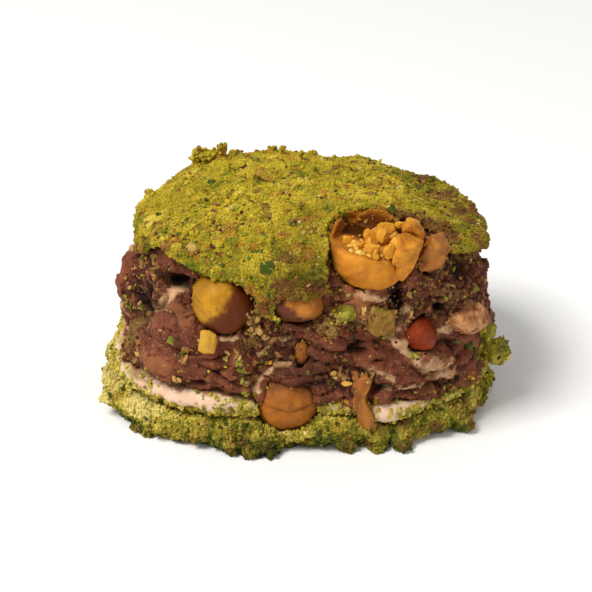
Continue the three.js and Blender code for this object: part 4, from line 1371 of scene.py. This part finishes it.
def placed(name, rows, carrier, seed, fall=0.0, parts=1):
    """Single chips on the front, each seated on what carries it: place (x, z), half-sizes across, up and
    out, lean in degrees, and tint. They are set in along Y, or with a fall of so many mm for each mm
    inwards, so that z is their height where they pass the cut face. With several parts, each chip is a
    cluster of smaller ones."""
    rng = np.random.default_rng(seed)
    places = []
    turns = []
    sizes = []
    tints = []
    for ((x, z), half, lean, tint), _ in product(rows, range(parts)):
        if parts > 1:
            x, z = (x, z) + rng.uniform(-PART_PLACE, PART_PLACE, 2) * half[:2]
            half = np.array(half) * rng.uniform(*PART_SIZE, 3)
            lean += rng.uniform(-PART_LEAN, PART_LEAN)
            tint = min(1, max(0, tint + rng.uniform(-PART_TINT, PART_TINT)))
        start = Vector((x, OUTSIDE, z + fall * (CUT_FACE - OUTSIDE)))
        hit, normal, _, _ = carrier.ray_cast(start, Vector((0, 1, -fall)).normalized())
        outward = normal if normal.y < 0 else -normal
        facing = (outward + Vector((0, -1, 0.3))).normalized()
        places.append(hit + facing * half[2] * SEATED)
        across = Vector((0, 0, 1)).cross(-facing).normalized()
        turn = Matrix((across, facing.cross(across).normalized(), facing)).transposed()
        turns.append(np.array(turn @ Matrix.Rotation(math.radians(lean), 3, "Z")))
        sizes.append(half)
        tints.append(tint)
    return joined(name, np.array(places), sizes, tints, rng, kind="chip", turns=np.array(turns))


# ------------------------------------------------------------------------ materials and solid pieces
PISTACHIO = ground_nut("ground pistachio", MEAL, flecks=0.5)
PACKED_PISTACHIO = ground_nut("packed ground pistachio", MEAL, packing=0.3, flecks=0.5)
BED = ground_nut("bed of pistachio", BED_MEAL, flecks=0.25)
PACKED_BED = ground_nut("packed bed of pistachio", BED_MEAL, packing=0.4, flecks=0.25)
COARSE_GREEN = ground_nut("green pistachio", [(0.0, "4a5420"), (0.5, "74762c"), (1.0, "a09a40")])
SOFT_GREEN = ground_nut("pale green pistachio", [(0.0, "5c6c1e"), (0.5, "7f8828"), (1.0, "a8a43c")])
DARK_GREEN = ground_nut("dark pistachio", [(0.0, "33420f"), (1.0, "56621c")])
CREAM = ground_nut("pale kernel", [(0.0, "b89c58"), (1.0, "cfba7c")], soft=0.2)
HUSK = ground_nut("pistachio husk", [(0.0, "5e3222"), (0.4, "8a5238"), (1.0, "b8785c")])
CHOCOLATE = ground_nut("chocolate crumb", [(0.0, "3a2016"), (0.6, "623a2a"), (1.0, "855440")])
TAN = ground_nut("tan kernel", [(0.0, "845228"), (0.6, "ab7c44"), (1.0, "c4a060")], soft=0.2)
OLIVE_MEAL = [(0.0, "785620"), (0.5, "9c783a"), (1.0, "b0924c")]
OLIVE = ground_nut("olive pistachio", OLIVE_MEAL, soft=0.2, flecks=0.6)
GOLD = ground_nut("golden kernel", [(0.0, "b4711d"), (0.5, "da9c32"), (1.0, "efc868")], soft=0.2)
FUDGE = chocolate_fudge()
NOUGAT = white_nougat()
GOLDEN = kernel_material("golden hazelnut", "ce842c", "ac681e", "5e2c14")
OPENED = kernel_material("opened hazelnut", "d48c2c", "ba7420", "a45a20", coat=0, shine=0.1)
BROKEN = kernel_material("broken hazelnut", "d8942e", "b87020", "94561a", coat=0, shine=0.12)
TOASTED = kernel_material("toasted hazelnut", "b2742c", "94581e", "6e3a18")
YELLOW = kernel_material("yellow hazelnut", "c89420", "b07a1c", "602c0c", shine=0.12)
LEMON = kernel_material("lemon kernel", "d6a634", "b88426", "c89a3c")
AMBER = kernel_material("amber hazelnut", "b46e26", "8c5018", "5e3013", 0.55, coat=0, shine=0.14)
SKINNED = kernel_material("red hazelnut skin", "963812", "6c260d", "8a4422", coat=0, shine=0.12)
LUMP = browned_nougat()

# The slots of the crumbs' materials. Those that aren't named here are pistachio.
CRUMB_SLOTS = {
    CREAM: "hazelnut",
    TAN: "hazelnut",
    GOLD: "hazelnut",
    HUSK: "hazelnut_skin",
    CHOCOLATE: "chocolate",
}

# name of the piece: its CAD node, slot and material, the height of its seam and the side where it darkens
KERNELS = {
    "nut_low": ("hazelnut_low", "toasted_hazelnut", AMBER, 0.12, None),
    "nut_left": ("hazelnut_left", "hazelnut", YELLOW, None, (0.8, -0.6, 0.12)),
    "nut_middle": ("hazelnut_middle", "hazelnut", GOLDEN, None, (-0.75, -0.65, 0.05)),
    "nut_open": (OPEN_KERNEL, "hazelnut", OPENED, None, None),
    "nut_red": ("hazelnut_red", "hazelnut_skin", SKINNED, None, None),
    "nut_slip": ("kernel_slip", "toasted_hazelnut", AMBER, None, None),
    "nut_back_low": ("hazelnut_back_low", "toasted_hazelnut", AMBER, 0.1, None),
    "nut_back_high": ("hazelnut_back_high", "hazelnut", YELLOW, None, (-0.8, -0.6, 0)),
    "nut_back_right": ("hazelnut_back_right", "hazelnut", GOLDEN, None, None),
    "nut_side_left": ("hazelnut_side_left", "toasted_hazelnut", AMBER, -0.1, None),
    "nut_side_right": ("hazelnut_side_right", "hazelnut", YELLOW, None, None),
}
SCOOPED = ("nut_open", "nut_back_right")
# name of the piece: its CAD node, slot and material, its waist and how rough it is
SHARDS = {
    "broken_wedge": ("shard_wedge", "hazelnut", BROKEN, 0, 0.8),
    "broken_right": ("shard_right", "hazelnut", TOASTED, 0, 1.2),
    "broken_upper": ("shard_upper", "hazelnut", BROKEN, 0, 1.5),
    "broken_block": ("shard_block", "hazelnut", BROKEN, 0, 0.8),
    "long_sliver": ("sliver", "toasted_hazelnut", TOASTED, 1.3, 0.6),
    "yellow_chip": ("chip_yellow", "hazelnut", LEMON, 0, 0.7),
    "green_bit": ("pistachio_bit", "pistachio", OLIVE, 0, 2.2),
}
CRUMBED = ("green_bit", "yellow_chip", "long_sliver", "broken_right", "lump")  # crumbs lie on these

pieces = []
for name, (node, slot, material, seam, dark_side) in KERNELS.items():
    pieces.append((kernel(name, node, seam, dark_side, name in SCOOPED), slot, material, node))
kernels = [piece[0] for piece in pieces]
open_nut = bpy.data.objects["nut_open"]
hollowed(open_nut)
pieces.append((nougat_lump("lump", "nougat_lump"), "nougat", LUMP, "nougat_lump"))
for name, (node, slot, material, waist, rough) in SHARDS.items():
    pieces.append((shard(name, node, waist, rough), slot, material, node))
broken = [bpy.data.objects[name] for name in CRUMBED]
nuts = tree_of([piece[0] for piece in pieces])

skin = pistachio_skin()
skin_tree = tree_of([skin])
bed = pistachio_bed()
filling = chocolate_filling(nuts, skin_tree)
filling_tree = tree_of([filling])
sheet = nougat_sheet(filling_tree, tree_of([bed]))
cover = tree_of([filling, sheet])
everything = tree_of([piece[0] for piece in pieces] + [filling])
pieces += [
    (skin, "pistachio", PACKED_PISTACHIO, "pistachio_skin"),
    (bed, "pistachio", PACKED_BED, "pistachio_bed"),
    (filling, "chocolate", FUDGE, "chocolate_filling"),
    (sheet, "nougat", NOUGAT, "nougat_sheet"),
]


# ---------------------------------------------------------------------------------- crumbs and chips
def upward(places, normals):
    """Over the skin, thinner at its rim."""
    rim = step(1.0, 0.4, distance_to(filling_tree, places, 2.0))
    return step(-0.7, -0.1, normals[:, 2]) * (1 - 0.6 * rim)


def droop(places, normals):
    """More towards the skin's hanging edge."""
    return step(-0.9, -0.3, normals[:, 2]) * (0.2 + 0.8 * step(*SKIN_LOW, places[:, 2]))


def low_edge(places, normals):
    """The bed's open parts."""
    open_air = step(0.1, 0.7, distance_to(cover, places, 2.0))
    return step(-0.85, -0.2, normals[:, 2]) * open_air


def climbing(places, normals):
    """The sheet's edge, but for the stretches where its white shows."""
    low_down = step(*SHEET_CRUMBS, places[:, 2])
    clusters = step(-0.1, 0.4, perlin(places, 2.2, 78))
    white = clean_nougat(places) * (0.95 - 0.35 * clusters * low_down)
    return steep(normals) * (0.12 + low_down) * (1 - white)


def cut_face(places, normals):
    """The filling's crumbly patches, but for its ribbons and where it is torn open."""
    open_or_ribbon = np.maximum(torn_open(places)[0], ribbons(places)[0]["nougat"])
    return steep(normals) * (0.03 + crumbly_share(places)) * (1 - open_or_ribbon)


def cut_edges(places, normals):
    """Close under the skin and low on the filling, where crumbs of pistachio gather."""
    near = step(3.2, 0.4, distance_to(skin_tree, places, 3.5))
    low_down = step(*FOOT_CRUMBS, places[:, 2])
    closed = 1 - torn_open(places)[0]
    return steep(normals) * (0.015 + 0.8 * near + 0.6 * low_down) * closed


def hanging_rim(places, normals):
    """The skin's edge, where it gives way to the filling."""
    near = step(1.5, 0.5, distance_to(filling_tree, places, 2.0))
    return step(-0.95, -0.4, normals[:, 2]) * near * step(*UNDER_CREST, places[:, 2])


def beside_kernels(places, normals):
    """The filling close round its kernels."""
    return step(1.2, 0.5, distance_to(nuts, places, 2.0)) * steep(normals)


def kernel_edges(places, normals):
    """The kernels' edges, close to the filling or the sheet."""
    near = step(1.0, 0.3, distance_to(cover, places, 1.5))
    return (near + on_front(places, [CRUMB_STRIP])) * step(-0.6, 0.2, normals[:, 2])


def dusty(places, normals):
    """The filling's dusty patches."""
    return steep(normals) * (0.025 + 1.3 * on_front(places, DUSTY))


def on_bits(places, _):
    """The pistachio chips that are one with the filling."""
    return step(0.7, 0.2, past_bits(places))


def in_open_kernel(places, normals):
    """Inside the open kernel, and more towards its right."""
    place = kernel_place(places, OPEN_KERNEL)[0]
    inside = step(0.97, 0.86, np.linalg.norm(place, axis=1)) * step(0.4, 0.8, normals[:, 2])
    return inside * (0.02 + step(-0.15, 0.3, place[:, 0])) * step(0.5, 0.3, place[:, 1])


# Shapes of crumbs: their kind, how flat they are, how deep they are sunk in, and the rule for their painted
# shade and how bare they are.
SHADED_BARE_SKIN = {"sunk": 0.54, "shade_and_bare": skin_shade_and_bare}
SKIN_CLUMPS = {"kind": "grain", "sunk": 0.5, "shade_and_bare": skin_shade_and_bare}
SHADED_BARE_BED = {"sunk": 0.4, "shade_and_bare": bed_shade_and_bare}
BED_CLUMPS = {**SHADED_BARE_BED, "kind": "grain"}
ROUND = {"kind": "grain", "sunk": 0.55}
PAINTED_SHADE = {"shade_and_bare": filling_painted_shade}
PAINTED_SHADE_FLAT = {**PAINTED_SHADE, "flatness": 0.6}
PAINTED_SHADE_ROUND = {**ROUND, **PAINTED_SHADE}
OPEN_CHIP = {"kind": "chip", "sunk": 0.1}
# name, what they lie on, how many at most, half-sizes in mm, where on it, material, tints and shape
CRUMBS = [
    ("skin_meal", [skin], 15000, (0.12, 0.28), upward, PISTACHIO, skin_tint, SHADED_BARE_SKIN),
    ("skin_fine", [skin], 15000, (0.1, 0.22), upward, PISTACHIO, skin_tint, SHADED_BARE_SKIN),
    ("skin_grains", [skin], 5000, (0.2, 0.43), upward, PISTACHIO, skin_tint, SHADED_BARE_SKIN),
    ("skin_green", [skin], 620, (0.2, 0.5), droop, SOFT_GREEN, (0, 0.8), SKIN_CLUMPS),
    ("rim_clumps", [skin], 280, (0.3, 0.75), hanging_rim, PISTACHIO, skin_tint, SKIN_CLUMPS),
    ("skin_tan", [skin], 260, (0.2, 0.7), droop, TAN, (0, 0.6), {"flatness": 0.5, "sunk": 0.6}),
    ("rim_chocolate", [skin], 900, (0.14, 0.42), hanging_rim, CHOCOLATE, (0, 1), {"sunk": 0.5}),
    ("rim_meal", [skin], 900, (0.12, 0.34), hanging_rim, PISTACHIO, (0, 0.6), {"shade_and_bare": skin_shade_and_bare}),
    ("skin_dark", [skin], 150, (0.2, 0.5), droop, DARK_GREEN, (0, 1), SKIN_CLUMPS),
    ("skin_cream", [skin], 130, (0.15, 0.36), upward, CREAM, (0, 1), {"flatness": 0.6}),
    ("skin_husk", [skin], 115, (0.2, 0.48), upward, HUSK, (0, 1), {"flatness": 0.35}),
    ("bed_meal", [bed], 14500, (0.1, 0.32), low_edge, BED, bed_tint, SHADED_BARE_BED),
    ("bed_grains", [bed], 2200, (0.2, 0.55), low_edge, BED, bed_tint, BED_CLUMPS),
    ("bed_green", [bed], 480, (0.2, 0.65), low_edge, COARSE_GREEN, (0, 1), ROUND),
    ("bed_dark", [bed], 300, (0.25, 0.6), low_edge, DARK_GREEN, (0, 1), {"flatness": 0.5}),
    ("sheet_meal", [sheet], 3200, (0.14, 0.42), climbing, BED, (0.3, 0.96), {}),
    ("sheet_grains", [sheet], 260, (0.3, 0.7), climbing, BED, (0.3, 0.96), {}),
    ("filling_crumbs", [filling], 3000, (0.14, 0.6), cut_face, CHOCOLATE, (0, 1), PAINTED_SHADE_ROUND),
    ("filling_green", [filling], 180, (0.2, 0.55), cut_face, COARSE_GREEN, (0, 1), PAINTED_SHADE_ROUND),
    ("bit_meal", [filling], 420, (0.14, 0.46), on_bits, PISTACHIO, (0, 0.9), {}),
    ("edge_grains", [filling], 520, (0.2, 0.5), cut_edges, PISTACHIO, (0.1, 0.9), PAINTED_SHADE_ROUND),
    ("filling_meal", [filling], 1300, (0.11, 0.34), cut_edges, OLIVE, (0.2, 1), PAINTED_SHADE),
    ("filling_tan", [filling], 360, (0.15, 0.44), dusty, TAN, (0, 1), PAINTED_SHADE_FLAT),
    ("filling_dust", [filling], 900, (0.1, 0.25), dusty, TAN, (0, 1), PAINTED_SHADE),
    ("socket_crumbs", [filling], 900, (0.13, 0.45), beside_kernels, CHOCOLATE, (0, 1), PAINTED_SHADE_ROUND),
    ("socket_tan", [filling], 420, (0.1, 0.36), beside_kernels, TAN, (0.2, 1), PAINTED_SHADE),
    ("kernel_crumbs", kernels, 700, (0.1, 0.34), kernel_edges, CHOCOLATE, (0.2, 1), ROUND),
    ("kernel_tan", kernels, 520, (0.1, 0.3), kernel_edges, TAN, (0.2, 1), {}),
    ("kernel_meal", kernels, 260, (0.1, 0.28), kernel_edges, PISTACHIO, (0.2, 0.9), {}),
    ("piece_crumbs", broken, 240, (0.1, 0.36), kernel_edges, CHOCOLATE, (0.2, 1), ROUND),
    ("piece_tan", broken, 260, (0.1, 0.36), kernel_edges, TAN, (0.2, 1), {}),
    ("open_chips", [open_nut], 40, (0.45, 1.25), in_open_kernel, GOLD, (0.05, 0.95), OPEN_CHIP),
    ("open_crumbs", [open_nut], 200, (0.12, 0.36), in_open_kernel, GOLD, (0.1, 0.9), {"sunk": -0.6}),
]
crumbs = []
for seed, (name, hosts, count, half, where, material, tint, shape) in enumerate(CRUMBS, CRUMB_SEED):
    crumbs.append((scatter(name, hosts, count, half, seed, where, tint, **shape), material))

# name, material, rows, what they lie on, how steeply they fell and of how many parts each one is
CHIPS = [
    ("chips_green", COARSE_GREEN, GREEN_CHIPS, cover, 0, 3),
    ("chips_tan", TAN, TAN_CHIPS, cover, 0, 3),
    ("chips_gold", GOLD, GOLD_CHIPS, cover, 0, 2),
    ("chips_open", GOLD, OPEN_CHIPS, everything, CHIP_FALL, 1),
    ("chips_skin_green", DARK_GREEN, SKIN_GREENS, skin_tree, CHIP_FALL, 4),
    ("chips_skin_husk", HUSK, SKIN_HUSKS, skin_tree, CHIP_FALL, 2),
    ("chips_skin_tan", TAN, SKIN_NUTS, skin_tree, CHIP_FALL, 3),
]
for seed, (name, material, rows, carrier, fall, parts) in enumerate(CHIPS, CHIP_SEED):
    crumbs.append((placed(name, rows, carrier, seed, fall, parts), material))

rng = np.random.default_rng(CREST_SEED)
heap = np.array(CREST_PLACE) + rng.normal(size=(CREST_CRUMBS, 3)) * CREST_SPREAD
tints = skin_tint(heap, rng.random(CREST_CRUMBS), rng.random(CREST_CRUMBS))
half_sizes = rng.uniform(0.25, 0.6, CREST_CRUMBS)
clump = joined("crest_clump", heap, half_sizes, tints, rng, kind="grain", shade_and_bare=skin_shade_and_bare)
crumbs.append((clump, PISTACHIO))

for obj, slot, material, node in pieces:
    dressed(obj, slot, material, node)
for obj, material in crumbs:
    dressed(obj, CRUMB_SLOTS.get(material, "pistachio"), material)

# ----------------------------------------------------------------------------------- stage and light
scene = bpy.context.scene
scene.view_settings.view_transform = "Standard"

bm = bmesh.new()
bmesh.ops.create_grid(bm, x_segments=1, y_segments=1, size=FLOOR_HALF)
floor = new_object("floor", bm)
white, nodes, shader = new_material("white table", roughness=0.9)
tone = patches(nodes, size=400, contrast=1.0)
paint(nodes, shader, nodes.mix(tone, WHITE_FLOOR + (1,), DULL_FLOOR + (1,)))
floor.data.materials.append(white)

world = bpy.data.worlds.new("studio")
world.use_nodes = True
world.node_tree.nodes["Background"].inputs["Color"].default_value = SKY + (1,)
world.node_tree.nodes["Background"].inputs["Strength"].default_value = SKY_STRENGTH
scene.world = world


def lamp(name, place, size, watts, color):
    """A square soft light at a place in metres, aimed at the piece."""
    light = bpy.data.lights.new(name, "AREA")
    light.size = size
    light.energy = watts
    light.color = color
    obj = linked(name, light)
    obj.location = place
    toward = Vector((0, 0, LOOK_AT * MM)) - Vector(place)
    obj.rotation_euler = toward.to_track_quat("-Z", "Y").to_euler()


for lamp_facts in LAMPS:
    lamp(*lamp_facts)

camera = linked("camera", bpy.data.cameras.new("camera"))
camera.data.lens = LENS
camera.data.clip_start = 0.01
reach = VIEW_DISTANCE * MM
camera.location = (0, -reach * math.cos(VIEW_HEIGHT), LOOK_AT * MM + reach * math.sin(VIEW_HEIGHT))
camera.rotation_euler = (math.pi / 2 - VIEW_HEIGHT, 0, 0)
scene.camera = camera
